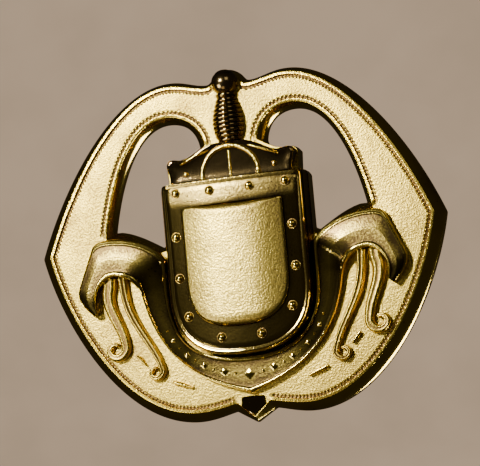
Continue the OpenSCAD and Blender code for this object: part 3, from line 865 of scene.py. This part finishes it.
@dataclass(frozen=True)
class Sword:
    """The hilt over the shield and the point of the blade under the scroll."""

    guard_h: float = 3.1
    hilt: float = 6.5
    lip: float = 0.28
    pommel_r: float = 1.45
    pommel_z: float = 16.55
    neck: float = 1.2
    grip_top: float = 15.1
    grip_foot: float = 10.15
    turns: int = 10
    grip_r: float = 1.8
    ring_r: float = 3.1
    wire_r: float = 0.26
    foot_r: float = 0.34

    def pommel(self, look: bpy.types.Material) -> None:
        """A ball with a narrow belt, flat underneath where it stands on the ring, and its collar."""
        lift, belt = 0.35, 0.95
        place = np.linspace(-self.neck, self.pommel_r, 44)[:, None]
        radius = np.sqrt(np.maximum(self.pommel_r**2 - place**2, 0))
        radius = np.maximum(radius - 0.05 * np.exp(-(((place - belt) / 0.08) ** 2)), 0.02)
        under = math.asin(lift / self.pommel_r)
        ball = half_round(radius, self.pommel_z + place, np.linspace(-under, np.pi + under, 60))
        ball[..., 2] = np.maximum(ball[..., 2] + lift, FIELD_H)
        # Painted shade in the groove of the belt and at the neck where the ball meets the grip.
        soil = 0.6 * np.exp(-(((place - belt) / 0.1) ** 2))
        soil = soil + 0.5 * np.exp(-(((place + self.neck) / 0.2) ** 2))
        shell = Shell().grid(ball, np.stack([0 * soil + 0.15, soil, 0 * soil + 0.5], 2), caps=True)
        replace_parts(shell.build("pommel", "badge", "gilt_polished_dark", look, 70), "sword_pommel")
        profile = np.array([[1.1, 0], [1.2, 0.03], [1.22, 0.08], [1.22, 0.17], [1.2, 0.22], [1.1, 0.25]])
        disc = half_round(profile[:, :1], self.grip_top + profile[:, 1:], np.linspace(0, np.pi, 40))
        shell = Shell().grid(disc, (0.8, 0, 1), caps=True)
        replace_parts(shell.build("grip_collar", "badge", "gilt_satin", look, 50), "sword_collar")

    def grip(self, look: bpy.types.Material) -> None:
        """A swelling grip bound with wire: radius = body - groove * (1 - |sin|) along a helix."""
        t = np.linspace(0, 1, 260)[:, None]
        a = np.linspace(0, np.pi, 48)
        body = 1.3 * (1 - t) + 1.1 * t + (self.grip_r - 1.2) * np.sin(np.pi * t**0.85)
        wire = np.abs(np.sin(np.pi * (t * self.turns + a / (2 * np.pi)))) ** 0.6
        bar = half_round(body - 0.2 * (1 - wire), self.grip_foot + t * (self.grip_top - self.grip_foot), a)
        # Painted shade in the grooves between the turns of wire, through the middle value.
        trace = np.stack([0.5 * wire**6, 0.85 * (1 - wire), 1 - 0.3 * (1 - wire)], 2)
        shell = Shell().grid(bar, trace, caps=True)
        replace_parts(shell.build("grip", "badge", "gilt_polished_dark", look, 80), "sword_grip")

    def guard_half(self, sink: float) -> Array:
        """Right half of the guard's outline from the top middle to the foot; sink draws it in."""
        crown = self.ring_r + 0.52 - 0.15 * sink
        arm = np.array([5.2, 2.25 - 0.35 * sink])
        end = np.array([7.0 - 0.3 * sink, 2.1 - 0.25 * sink])
        foot = np.array([6.95 - 0.4 * sink, -self.lip])
        handle = arm + [-1, 0.05 + 0.05 * sink]
        return np.vstack([
            np.linspace([0, crown], [1.7, crown - 0.02], 16, endpoint=False),
            cubic([1.7, crown - 0.02], [3.2, crown - 0.22 - 0.1 * sink], handle, arm, 40),
            cubic(arm, arm + [0.8, -0.05], [6.6 - 0.2 * sink, 2.65 - 0.35 * sink], end, 30),
            cubic(end, [7.5 - 0.4 * sink, 1.5], [6.7 - 0.4 * sink, 0.7], foot, 30),
            np.linspace(foot, [0, -self.lip], 40, endpoint=True),
        ])

    def guard_outline(self, sink: float) -> Array:
        """The whole outline of the guard in the badge's own heights, anticlockwise."""
        half = self.guard_half(sink) + [0, self.hilt]
        return np.vstack([mirrored(half[:-1]), half[:0:-1]])

    def guard(self, look: bpy.types.Material, bright: bpy.types.Material) -> None:
        """The guard with softly rounded edges, its ridge, the two studs and the wire ring."""
        loops = evenly([self.guard_outline(s) for s in (0, 0.25, 0.6, 1.0)], 520, 1)
        top = self.guard_h
        shoulder = top - 0.35
        # Painted shade: the middle mark of these rows darkens the foot of the guard and its side up to the
        # shoulder.
        rows = [(loops[0], FIELD_H, (0, 0.6, 1)), (loops[1], shoulder, (0, 0.2, 1))]
        for t in (0.25, 0.5, 0.72, 0.88, 1.0):
            loop = loops[1] + (loops[3] - loops[1]) * (1 - (1 - t**2) ** 0.5)
            rows.append((loop, shoulder + 0.35 * t, (0.3 + 0.7 * t**4, 0, 1)))
        rows.append((inset(loops[3], 0.05), top, (0.5, 0, 1)))
        grid = np.stack([at(loop, height) for loop, height, _ in rows])
        shell = Shell().grid(grid, np.array([mark for _, _, mark in rows])[:, None])
        shell.fill([grid[-1][:, :2]], lambda p, gap: top - 0.06 * (1 - np.exp(-gap / 0.4)), (0, 0.2, 1), 0.3)
        shell.fill([grid[0][:, :2]], FIELD_H, (0, 0.6, 0), 2.0)
        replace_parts(shell.build("guard", "badge", "gilt_polished_dark", look, 60), "sword_guard")

        run = np.linspace(2.15, 5.45, 50)
        path = np.stack([run, self.hilt + self.ring_r + 0.2 - 1.65 * (run / 5.4) ** 1.5], 1)
        taper = np.sin(np.linspace(0.12, np.pi - 0.12, 50)) ** 0.3
        side, up = rounded_section(0.16 * taper, top - 0.08, top + 0.26 * taper, 11, 2.0)
        ridge = strand(path, side, up)
        shell = Shell().grid(ridge, (1, 0, 1), caps=True).grid(mirrored(ridge), (1, 0, 1), caps=True)
        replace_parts(shell.build("guard_ridge", "badge", "gilt_bright", bright, 70), "sword_guard_ridge")

        arc_steps, foot_steps = 90, 6
        a = np.linspace(0, np.pi, arc_steps)
        arc = np.stack([self.ring_r * np.cos(a), self.hilt + self.ring_r * np.sin(a)], 1)
        feet = np.linspace(0.26, 0.02, foot_steps)[:, None] * [0, -1]
        path = np.vstack([[self.ring_r, self.hilt] + feet, arc, [-self.ring_r, self.hilt] + feet[::-1]])
        steps = [foot_steps, arc_steps, foot_steps]
        spread = np.repeat([self.foot_r, self.wire_r, self.foot_r], steps)
        spread = np.convolve(np.pad(spread, 2, mode="edge"), np.full(5, 0.2), "valid")
        side, up = rounded_section(spread, top - 0.06, top + spread, 13, 2.0)
        over = np.linspace(0, np.pi, 13)
        trace = np.stack([0.4 + 0.6 * np.sin(over), 0 * over, 0 * over + 0.2], 1)
        shell = Shell().grid(strand(path, side, up), trace[None], caps=True)
        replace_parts(shell.build("side_ring", "badge", "gilt_bright", bright, 70), "sword_side_ring")

        t = np.linspace(0, np.pi / 2, 8)[:-1, None]
        shell = Shell()
        for x in (4.9, -4.9):
            dome = rounds(x, self.hilt + 0.55, 0.3 * np.cos(t), top - 0.04 + 0.33 * np.sin(t), circle(24))
            shell.grid(dome, (1, 0, 0.3), caps=True)
        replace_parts(shell.build("quillon_beads", "badge", "gilt_bright", bright, 70), "quillon_studs")

    def ricasso(self, look: bpy.types.Material) -> None:
        """The fluted half disc inside the wire ring: a row of ridges cut off by the circle."""
        radius, rows, cols = self.ring_r - self.wire_r - 0.1, 30, 161
        spots = np.array([0, 0.04, 0.2, 0.4, 0.47, 0.55, 0.64, 0.77, 0.86, 1.0]) * radius
        rises = np.array([1.4, 1.35, 0.65, 0.55, 0.85, 0.55, 0.95, 0.95, 0.6, 0.4])
        x = radius * np.sin(np.linspace(-np.pi / 2, np.pi / 2, cols))
        x[0], x[-1] = -radius + 0.001, radius - 0.001
        rise = np.interp(np.abs(x), spots, rises)
        rise = np.convolve(np.pad(rise, 2, mode="edge"), [0.1, 0.2, 0.4, 0.2, 0.1], "valid")
        low = self.hilt - self.wire_r
        high = self.hilt + np.sqrt(np.maximum(radius**2 - x**2, 0))
        v = np.linspace(0, 1, rows)[:, None]
        up = low + v * (high - low)[None]
        edge = np.minimum(1, (1 - v) * (high - low)[None] / 0.25) ** 0.5
        out = FIELD_H + rise[None] * (0.55 + 0.45 * edge)
        front = np.stack([np.broadcast_to(x, up.shape), up, out], 2)
        back = front.copy()
        back[..., 2] = FIELD_H
        hollow = np.clip((0.9 - rise) / 0.4, 0, 1)
        # Painted shade in the hollows between the ridges.
        trace = np.stack([1 - hollow, hollow, 0.1 + hollow * 0.9], 1)[None].repeat(rows, 0)
        sheet = np.concatenate([front, back[:, ::-1]], 1)
        shell = Shell().grid(sheet, np.concatenate([trace, trace[:, ::-1]], 1))
        for part in (sheet[0], sheet[-1]):
            shell.grid(np.stack([part[:cols], part[cols:][::-1]]), (0, 0.3, 1), round_cols=False)
        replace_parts(shell.build("ricasso", "badge", "gilt_satin", look, 60), "sword_ricasso")

    def tip(self, look: bpy.types.Material) -> None:
        """The point of the blade: a spearhead whose ridge falls to both edges, in rows down to the point."""
        top_z, shoulder_z, point_z, edge_t = -17.3, -18.3, -19.4, 0.3
        z = np.linspace(top_z, point_z, 30)
        share = (z - point_z) / (shoulder_z - point_z)
        half = np.where(z > shoulder_z, 1.2 + 0.1 * (top_z - z), 1.3 * share)
        ridge = np.where(z > shoulder_z, 1.05, edge_t + 0.75 * share)
        u = np.linspace(-1, 1, 25)
        x = half[:, None] * u
        flute = 0.06 * np.sin(np.pi * np.abs(u)) ** 2
        out = FIELD_H + edge_t + (ridge[:, None] - edge_t) * (1 - np.abs(u)) - flute
        front = np.stack([x, np.broadcast_to(z[:, None], x.shape), np.maximum(out, FIELD_H + 0.05)], 2)
        back = front[:, [-1, 0]].copy()
        back[..., 2] = FIELD_H
        sheet = np.concatenate([front, back], 1)
        wear = np.concatenate([0.2 + 0.8 * (np.abs(u) < 0.06), [0, 0]])
        trace = np.stack([wear, 0 * wear + 0.1, 0 * wear + 1], 1)[None]
        shell = Shell().grid(sheet, trace, caps=True)
        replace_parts(shell.build("blade_tip", "badge", "gilt_polished_dark", look, 25), "sword_tip")


# ---------- the scroll ----------


@dataclass(frozen=True)
class Scroll:
    """The scroll: its run under the shield, the two folds, the curled tails and the small ornaments."""

    flat_h: float = 2.55
    fold_step: float = 0.7
    lip: float = 0.18
    seat: float = 8.2
    tail_cols: int = 23

    def stations(self) -> tuple[Array, Array, Array]:
        """Inner edge, outer edge and fold at matched stations of the right half, from the lowest point."""
        n = 2.6
        a = np.radians(90 - 7.5 * np.arange(12))
        bottom = np.stack([self.seat * np.cos(a) ** (2 / n), -5 - 8.05 * np.sin(a) ** (2 / n)], 1)
        seat = self.seat
        inner = np.vstack([
            bottom,
            [[seat, -5], [seat, -3.5]],
            cubic([seat, -2], [seat, -0.9], [10.6, 0.9], [14, 1.05], 7),
            cubic([14, 1.05], [15.6, 1.1], [16.1, 1.0], [16.5, -0.1], 4),
            cubic([16.5, -0.1], [17, -1.3], [17.5, -2.4], [18, -3.6], 3),
            cubic([18, -3.6], [18.5, -4.7], [18.1, -5.6], [16.6, -7.1], 6),
            [[16.6, -7.1]],
        ])
        outer = np.vstack([
            cubic([0, -16.95], [5.4, -15.3], [9.7, -12.8], [11.2, -5.3], 12),
            cubic([11.2, -5.3], [11.6, -3.9], [12.7, -3.05], [14, -3.05], 9),
            cubic([14, -3.05], [14.6, -3.05], [15.1, -3.4], [15.5, -3.8], 4),
            cubic([15.5, -3.8], [15.8, -4.1], [16, -4.5], [16.1, -4.9], 3),
            cubic([16.1, -4.9], [16.25, -5.5], [16.2, -6], [16.1, -6.6], 6),
            [[16.1, -6.6]],
        ])
        t = np.clip((np.arange(len(inner)) - 10) / 9, 0, 1)
        return inner, outer, t * t * (3 - 2 * t)

    def band(self, look: bpy.types.Material) -> None:
        """The long run: a section with two raised borders whose flat rises into the folds."""
        inner, outer, rise = self.stations()
        rows = finer(np.column_stack([inner, outer, rise]), FINE)
        a, b, r = rows[:, None, :2], rows[:, None, 2:4], np.clip(rows[:, 4:5], 0, 1)
        flat, lip, crest = self.flat_h, self.lip, self.fold_step * r
        foot, low, high = 0 * r + FIELD_H, flat + lip * (1 - r), flat + lip + crest
        heights = [foot, flat - 0.1 + 0.2 * crest, low + 0.4 * crest, low + 0.6 * crest, flat + 0.66 * crest]
        heights += [flat + crest, flat + crest, high, high, flat - 0.1 + crest, foot]
        span = np.array([0, 0.7, 0.85, 1.1, 1.25, 2.0, 2.75, 2.9, 3.15, 3.35, 4.1])
        fine = np.sort(np.concatenate([np.linspace(0, span[-1], 50), span]))
        share = np.interp(fine, span, [0, 0, 0.03, 0.11, 0.15, 0.5, 0.85, 0.89, 0.97, 1, 1])[None, :, None]
        up = np.stack([np.interp(fine, span, h) for h in np.hstack(heights)])
        for _ in range(2):
            up[:, 1:-1] = 0.25 * up[:, :-2] + 0.5 * up[:, 1:-1] + 0.25 * up[:, 2:]
        right = np.concatenate([a * (1 - share) + b * share, up[..., None]], 2)
        wear = np.interp(fine, span, [0, 0.3, 1, 1, 0, 0, 0, 1, 1, 0.4, 0])
        # Painted shade at the outer feet, in the corners inside both borders and on the flat between them.
        soil = np.interp(fine, span, [0.6, 0.3, 0, 0, 0.9, 0.45, 0.9, 0, 0, 0.4, 0.6])
        polish = np.interp(fine, span, [1, 1, 0.5, 0.5, 0.6, 0.7, 0.6, 0.5, 0.5, 1, 1])
        trace = np.stack([wear, soil, polish], 1)[None].repeat(len(right), 0)
        station = np.arange(len(right)) / FINE
        shine = np.interp(station, [0, 3, 6, 15, 19, 22, 27, 31], [0.3, 0.5, 1, 1, 0.35, 0.1, 0.3, 0.9])
        trace[..., 2] = np.clip(trace[..., 2] * 0.25 + shine[:, None] * 0.85, 0, 1)
        whole, marks = (np.concatenate([half[:0:-1], half]) for half in (right, trace))
        whole[: len(right) - 1] = mirrored(whole[: len(right) - 1])
        shell = Shell().grid(whole, marks, caps=True)
        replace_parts(shell.build("scroll", "badge", "gilt_satin", look, 55), "scroll_band")

    def ornament(self, look: bpy.types.Material) -> None:
        """Nine lozenges and ten beads: four-sided pyramids with cut tops, and small domes."""
        inner, outer, _ = self.stations()
        shell = Shell()
        # Painted shade round the foot of each lozenge and bead, through the middle column.
        marks = np.array([[0, 0.7, 0], [0.3, 0.2, 0.5], [0.9, 0, 1], [1, 0, 1]])[:, None]
        kinds = (
            (4, 0.16, [1.0, 0.97, 0.5, 0.16], [-0.03, 0.05, 0.13, 0.16]),
            (16, 0.052, [1.0, 0.95, 0.7, 0.3], [-0.03, 0.06, 0.13, 0.16]),
        )
        for k in range(-9, 10):
            i, side = abs(k), (-1 if k < 0 else 1)
            corners, size, shape, rise = kinds[i % 2]
            x, z = (inner[i] + outer[i]) / 2
            step = outer[i] - inner[i]
            radius = (np.array(shape) * size * np.hypot(*step))[:, None]
            height = self.flat_h + np.array(rise)[:, None]
            turn = math.atan2(step[1], step[0] * side)
            shell.grid(rounds(side * x, z, radius, height, turn + circle(corners)), marks, caps=True)
        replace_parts(shell.build("scroll_beads", "badge", "gilt_bright", look, 30), "scroll_ornament")

    def tail(self, run: Array, centre: Array, curl: float, wide: float, narrow: float) -> Array:
        """One tail: it runs down and winds into a curl, with a groove along its middle.

        Args:
            run: Points from the mouth of the fold to the curl.
            centre: Middle of the curl.
            curl: Radius where the curl begins.
            wide: Half width at the start.
            narrow: Half width at the end.

        Returns:
            A grid of points of the right-hand tail.
        """
        t = np.arange(21) / 20
        a = np.radians(180 + 300 * t)
        r = curl * (1 - t) + curl * 0.36 * t
        path = np.vstack([run, centre + r[:, None] * np.stack([np.cos(a), np.sin(a)], 1)])
        share = np.linspace(0, 1, len(path))
        width, crest = wide + (narrow - wide) * share, self.flat_h + 0.35 * (1 - share)
        rows = finer(np.column_stack([path, width, crest]), 7)
        side, up = rounded_section(rows[:, 2], FIELD_H, rows[:, 3], self.tail_cols, 3.0)
        u = np.cos(np.linspace(0, np.pi, self.tail_cols))
        up = up - 0.16 * np.exp(-((u / 0.13) ** 2)) * (rows[:, 2:3] / wide)
        return strand(rows[:, :2], side, np.maximum(up, FIELD_H))

    def tails(self, look: bpy.types.Material) -> None:
        """The four tails and the ends of the ribbon that show between them."""
        u = np.cos(np.linspace(0, np.pi, self.tail_cols))
        # Painted shade in the groove along the middle and at both feet.
        soil = 0.9 * np.exp(-((u / 0.12) ** 2)) + 0.6 * (np.abs(u) > 0.97)
        wear = np.clip(np.exp(-(((np.abs(u) - 0.55) / 0.25) ** 2)), 0, 1)
        trace = np.stack([wear, soil, 0 * u + 0.3], 1)[None]
        plans = {
            "outer_tail": ([14.8, -4.15], [15.6, -6.4], [13.5, -8.2], [14.6, -10.75], 1.15, 0.85, 0.24),
            "inner_tail": ([13.1, -4.9], [12.8, -8.4], [10.2, -10.6], [10.4, -13.6], 0.87, 0.56, 0.2),
        }
        for name, (p, q, s, centre, curl, wide, narrow) in plans.items():
            centre = np.array(centre)
            mouth = [p[0] - 0.05 if wide > 0.6 else p[0] + 0.15, -3.15]
            bend = cubic(p, q, s, centre - [curl, 0], 14)
            run = np.vstack([np.linspace(mouth, p, 4, endpoint=False), bend])
            grid = self.tail(run, centre, curl, wide, narrow)
            for side, points in (("right", grid), ("left", mirrored(grid))):
                shell = Shell().grid(points, trace, caps=True)
                piece = shell.build(f"{name}_{side}", "badge", "gilt_satin", look, 60)
                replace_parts(piece, f"scroll_{name}_{side}")
        shell, steps = Shell(), 24
        leaf = np.sqrt(np.sin(np.linspace(0.25, np.pi - 0.25, steps)))
        for start, end in (([12.35, -11.75], [11.4, -12.85]), ([8.55, -14.95], [6.4, -15.75])):
            path = np.linspace(start, end, steps)
            width = np.linspace(0.34, 0.18, steps) * leaf
            side, up = rounded_section(width, FIELD_H, np.full(steps, self.flat_h - 0.1), 15, 2.6)
            grid = strand(path, side, up)
            shell.grid(grid, (0.6, 0.1, 0.7), caps=True).grid(mirrored(grid), (0.6, 0.1, 0.7), caps=True)
        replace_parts(shell.build("ribbon_ends", "badge", "gilt_satin", look, 60), "scroll_end_stubs")


# ---------- the fixing ----------


@dataclass(frozen=True)
class Fixing:
    """Two threaded posts, the clamp plate behind the cloth, two washers and two knurled nuts."""

    gap: float = 25.0
    z: float = -4.6
    post_r: float = 1.0
    pitch: float = 0.4
    clearance: float = 0.05
    plate_y: float = 2.3
    plate_t: float = 0.6
    soft: float = 0.09
    washer_y: float = 2.95
    washer_t: float = 0.4
    nut_y: float = 3.4
    nut_t: float = 2.0
    nut_r: float = 2.6
    end_y: float = 8.01

    def posts(self, look: bpy.types.Material) -> None:
        """Each post: a foot, a fillet of solder and a thread r = R - depth * ridge(y/pitch - angle)."""
        seat, steps = SHEET_T - FIELD_H, 36
        foot = [[1.9, 0], [2.0, 0.05], [2.0, 0.38], [1.92, 0.5], [1.2, 0.5], [1.06, 0.56], [1.0, 0.72]]
        foot = np.array(foot + [[1.0, -seat]]) + [0, seat]
        y = np.linspace(0.0, self.end_y - 0.02, 260)[1:, None]
        ridge = np.abs(2 * ((y / self.pitch - circle(steps) / (2 * np.pi)) % 1) - 1)
        fade = np.clip((y - 0.1) / 0.5, 0, 1)
        chamfer = np.clip(self.end_y - y, 0, 0.3) + self.post_r - 0.3
        radius = np.minimum(self.post_r - 0.12 * ridge**1.3 * fade, chamfer)
        # Painted shade in the valleys of the thread; the foot gets an even share.
        soil = np.concatenate([np.full((len(foot), steps), 0.3), 0.7 * ridge * fade])
        wear = np.concatenate([np.full((len(foot), steps), 0.1), (1 - ridge) * fade])
        trace = np.stack([wear, soil, 0 * soil + 0.6], 2)
        for side, name in ((-1, "left"), (1, "right")):
            x = side * self.gap / 2
            low, high = turned_back(foot, steps, x, self.z), rounds(x, self.z, radius, -y, circle(steps))
            shell = Shell().grid(np.concatenate([low, high]), trace, caps=True)
            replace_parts(shell.build(f"threaded_post_{name}", "badge", "post_brass", look, 60), f"post_{name}")

    def plate(self, look: bpy.types.Material) -> None:
        """The clamp plate: a rounded strip with two round holes, softened edges and a pressed rib."""
        half_h, half_gap, back_y = self.nut_r + 0.8, self.gap / 2, self.plate_y + self.plate_t
        a = np.radians(np.linspace(-90, 90, 90))
        right = np.stack([half_gap + half_h * np.cos(a), self.z + half_h * np.sin(a)], 1)
        top = np.linspace(right[-1], right[-1] * [-1, 1], 60)[1:-1]
        left = mirrored(right)[::-1]
        bottom = np.linspace(left[-1], right[0], 60)[1:-1]
        bore, b = self.post_r + self.clearance, -circle(72)
        loops = [np.vstack([right, top, left, bottom])]
        hole = np.stack([bore * np.cos(b), self.z + bore * np.sin(b)], 1)
        loops += [hole + [half_gap, 0], hole - [half_gap, 0]]
        quarter = np.radians(np.linspace(0, 90, 5))
        draw, dip = self.soft * (1 - np.sin(quarter)), self.soft * (1 - np.cos(quarter))
        draw = np.concatenate([draw, draw[::-1]])
        depth = np.concatenate([self.plate_y + dip, back_y - dip[::-1]])
        shell = Shell()
        fronts, backs = [], []
        for loop in loops:
            grid = np.stack([at(inset(loop, d), -y) for d, y in zip(draw, depth)])
            shell.grid(grid, (0.6, 0, 0.8))
            fronts.append(grid[0][:, :2])
            backs.append(grid[-1][:, :2])
        shell.fill(fronts, -self.plate_y, (0, 0.1, 0.4), 1.5)
        shell.fill(backs, -back_y, (0, 0.05, 0.4), 1.5)
        half_l, half_w = half_gap - self.nut_r - 2.4, 0.8
        path = np.stack([np.linspace(-half_l, half_l, 60), np.full(60, self.z)], 1)
        end_gap = np.clip((half_l - np.abs(path[:, 0])) / half_w, 0.02, 1)
        width = half_w * np.sqrt(np.clip(1 - (1 - end_gap) ** 2, 0.02, 1))
        side, up = rounded_section(width, 0.0, 0.3 * width / half_w, 15, 2.0)
        shell.grid(strand(path, side, 0.05 - back_y - up * 1.15), (0.5, 0, 0.8), caps=True)
        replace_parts(shell.build("back_plate", "clamp_plate", "plate_brass", look, 40), "clamp_plate")

    def washers(self, look: bpy.types.Material) -> None:
        """Each washer: a flat ring with rounded edges, its section carried round the post."""
        bore, rim, y, t = self.post_r + self.clearance, self.post_r + 1.0, self.washer_y, self.washer_t
        section = [(bore + 0.05, y), (rim - 0.06, y), (rim, y + 0.06), (rim, y + t - 0.06)]
        section += [(rim - 0.06, y + t), (bore + 0.05, y + t), (bore, y + t - 0.05), (bore, y + 0.05)]
        for side, name in ((-1, "left"), (1, "right")):
            ring = turned_back(np.array(section), 64, side * self.gap / 2, self.z)
            shell = Shell().grid(ring, (0.5, 0.1, 0.7), round_rows=True)
            body = f"washer_{name}"
            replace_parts(shell.build(f"flat_washer_{name}", body, "nut_brass", look, 40), body)

    def nuts(self, look: bpy.types.Material) -> None:
        """Each nut: a hub and a wide rim with straight knurling, r = R - depth * (1 - |sin(12 angle)|)."""
        bore, hub = self.post_r + self.clearance, self.nut_r - 0.7
        y, t, rim, steps = self.nut_y, self.nut_t, self.nut_r, 288
        section = [(bore + 0.12, y), (hub - 0.08, y), (hub, y + 0.08), (hub, y + 0.5), (rim - 0.1, y + 0.5)]
        section += [(rim, y + 0.6), (rim, y + t - 0.12), (rim - 0.12, y + t)]
        section += [(hub - 0.1, y + t), (hub - 0.25, y + t - 0.12), (bore + 0.35, y + t - 0.12)]
        section += [(bore + 0.12, y + t), (bore, y + t - 0.1), (bore, y + 0.1)]
        knurled = np.array([0, 0, 0, 0, 0.6, 1, 1, 0.7, 0, 0, 0, 0, 0, 0])[:, None]
        notch = (1 - np.abs(np.sin(12 * circle(steps))) ** 0.5)[None]
        depth = 1 - 0.055 * knurled * notch
        wear = np.array([0.2, 0.5, 0.5, 0, 0.6, 0.9, 0.9, 1, 0.2, 0.6, 0, 0.6, 0.3, 0.2])[:, None]
        # Painted shade in the notches of the knurling, over an even share.
        soil = 0.8 * knurled * notch + 0.1
        trace = np.stack([wear * (1 - notch * knurled), soil, 0 * soil + 0.6], 2)
        for side, name in ((-1, "left"), (1, "right")):
            ring = turned_back(np.array(section), steps, side * self.gap / 2, self.z, depth)
            shell = Shell().grid(ring, trace, round_rows=True)
            body = f"nut_{name}"
            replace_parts(shell.build(f"thumb_nut_{name}", body, "nut_brass", look, 40), body)


# ---------- the stage ----------


@dataclass(frozen=True)
class Studio:
    """Camera, lights, floor and backdrop. Angles are in degrees, lengths in millimetres, light in watts."""

    yaw: float = 14.6
    pitch: float = -7.1
    roll: float = -5.1
    distance: float = 300.0
    lens: float = 210.3
    target: tuple[float, float, float] = (0.16, -1.9, 0.2)
    floor_z: float = -90.0
    wall_r: float = 1500.0
    paper: Colour = (0.55, 0.405, 0.275, 1)

    def camera(self) -> None:
        """Places the camera a little below and to the right, with its slight turn."""
        yaw, pitch, roll = (math.radians(v) for v in (self.yaw, self.pitch, self.roll))
        away = Vector((math.sin(yaw) * math.cos(pitch), -math.cos(yaw) * math.cos(pitch), math.sin(pitch)))
        right = (-away).cross(Vector((0, 0, 1))).normalized()
        up = right.cross(-away)
        right, up = right * math.cos(roll) + up * math.sin(roll), up * math.cos(roll) - right * math.sin(roll)
        place = (Vector(self.target) + away * self.distance) * MM
        data = bpy.data.cameras.new("camera")
        data.lens, data.sensor_width = self.lens, 36.0
        data.clip_start, data.clip_end = 0.01, 10.0
        camera = bpy.data.objects.new("camera", data)
        camera.matrix_world = Matrix.Translation(place) @ Matrix((right, up, away)).transposed().to_4x4()
        bpy.context.scene.collection.objects.link(camera)
        bpy.context.scene.camera = camera

    def lamp(self, name: str, place: tuple, size: float, power: float, colour: tuple) -> None:
        """A soft square light that faces the badge."""
        data = bpy.data.lights.new(name, "AREA")
        data.energy, data.size, data.color = power, size * MM, colour
        lamp = bpy.data.objects.new(name, data)
        lamp.location = Vector(place) * MM
        lamp.rotation_mode = "QUATERNION"
        lamp.rotation_quaternion = lamp.location.to_track_quat("Z", "Y")
        bpy.context.scene.collection.objects.link(lamp)

    def surface(self, name: str, colour: Colour, glow: float) -> bpy.types.Material:
        """Matt paper with a faint mottle."""
        look = Look(name)
        mottle = look.noise(60.0, 3.0)
        darker = tuple(0.9 * c for c in colour[:3]) + (1.0,)
        tint = look.mixed(look.ramp(mottle, 0.35, 0.65), colour, darker)
        look.feed(look.shader.inputs["Base Color"], tint)
        look.shader.inputs["Metallic"].default_value = 0.0
        look.shader.inputs["Roughness"].default_value = 0.9
        look.feed(look.shader.inputs["Emission Color"], tint)
        look.shader.inputs["Emission Strength"].default_value = glow
        return look.material

    def stage(self) -> None:
        """The floor disc and the round backdrop: a wall of radius R whose foot curves into the floor."""
        turn, bend, steps = np.radians(np.linspace(0, 90, 10)), 300.0, 96
        radius = np.concatenate([[1.0, 400.0], self.wall_r - bend + bend * np.sin(turn), [self.wall_r]])
        height = np.concatenate([[0.0, 0.0], bend - bend * np.cos(turn), [2200.0]]) + self.floor_z
        points = rounds(0, 0, radius[:, None], height[:, None], circle(steps)).reshape(-1, 3) * MM
        mesh = bpy.data.meshes.new("backdrop")
        faces = quads(len(radius), steps).tolist() + [list(range(steps))]
        mesh.from_pydata(points.tolist(), [], faces)
        mesh.shade_smooth()
        mesh.materials.append(self.surface("backdrop_paper", self.paper, 0.85))
        wall = bpy.data.objects.new("backdrop", mesh)
        bpy.context.scene.collection.objects.link(wall)
        wall.visible_glossy = wall.visible_diffuse = wall.visible_shadow = False

    def light(self) -> None:
        """A dim room, one soft key from the upper left, a small fill from the right and a low one behind."""
        world = bpy.data.worlds.new("room")
        bpy.context.scene.world = world
        world.use_nodes = True
        world.node_tree.nodes["Background"].inputs[0].default_value = (0.020, 0.017, 0.013, 1)
        world.node_tree.nodes["Background"].inputs[1].default_value = 1.0
        self.lamp("key", (-96, -213, 88), 40, 0.95, (1.0, 0.97, 0.88))
        self.lamp("fill", (150, -240, 160), 120, 0.05, (1.0, 0.95, 0.88))
        self.lamp("low", (-40, -200, -220), 120, 0.04, (1.0, 0.8, 0.6))
        self.lamp("side", (-190, -190, -120), 120, 0.35, (1.0, 0.95, 0.88))
        self.lamp("back", (190, 220, -200), 180, 2.2, (1.0, 0.95, 0.9))


def main() -> None:
    """Builds the badge piece by piece, then the stage."""
    logging.basicConfig(level=logging.INFO, format="%(message)s")
    stippled, drawn = Grain
    finishes = {
        "gilt_satin": ((0.87, 0.64, 0.10, 1), (0.20, 0.12, 0.04, 1), 0.33, 0.12, stippled, 0.05, 0.6),
        # Painted shade: the same gilding with darker colours, standing in for the dark room that the polished
        # border reflects.
        "gilt_polished": ((0.62, 0.45, 0.11, 1), (0.05, 0.03, 0.013, 1), 0.28, 0.08, stippled, 0.03, 0.6),
        "gilt_bright": ((0.88, 0.66, 0.13, 1), (0.16, 0.10, 0.035, 1), 0.27, 0.12, stippled, 0.045, 0.9),
        "post_brass": ((0.72, 0.55, 0.28, 1), (0.16, 0.10, 0.04, 1), 0.3, 0.2, drawn, 0.004, 0.4),
        "plate_brass": ((0.72, 0.54, 0.28, 1), (0.24, 0.15, 0.07, 1), 0.34, 0.24, drawn, 0.006, 0.6),
        "nut_brass": ((0.76, 0.58, 0.30, 1), (0.18, 0.11, 0.05, 1), 0.28, 0.18, drawn, 0.004, 0.4),
        # Painted shade: the same gilding darkened further, standing in for the dark room that the polished
        # pommel, grip, guard and point reflect.
        "gilt_darkened_shade": ((0.40, 0.28, 0.11, 1), (0.035, 0.024, 0.012, 1), 0.24, 0.07, drawn, 0.004, 0.6),
        "gilt_ribbon": ((0.82, 0.62, 0.12, 1), (0.10, 0.065, 0.022, 1), 0.32, 0.10, stippled, 0.04, 0.7),
    }
    looks = (Gilt(name, *values).material() for name, values in finishes.items())
    satin, dark, bright, post, sheet, nut, black, ribbon = looks
    Ring().build(satin)
    shield = Shield()
    shield.plate(dark)
    shield.boss(bright)
    shield.rivets(satin)
    sword = Sword()
    sword.pommel(black)
    sword.grip(black)
    sword.guard(black, bright)
    sword.ricasso(bright)
    sword.tip(black)
    scroll = Scroll()
    scroll.band(ribbon)
    scroll.ornament(bright)
    scroll.tails(satin)
    fixing = Fixing()
    fixing.posts(post)
    fixing.plate(sheet)
    fixing.washers(nut)
    fixing.nuts(nut)
    studio = Studio()
    studio.stage()
    studio.light()
    studio.camera()


if __name__ == "__main__":
    main()
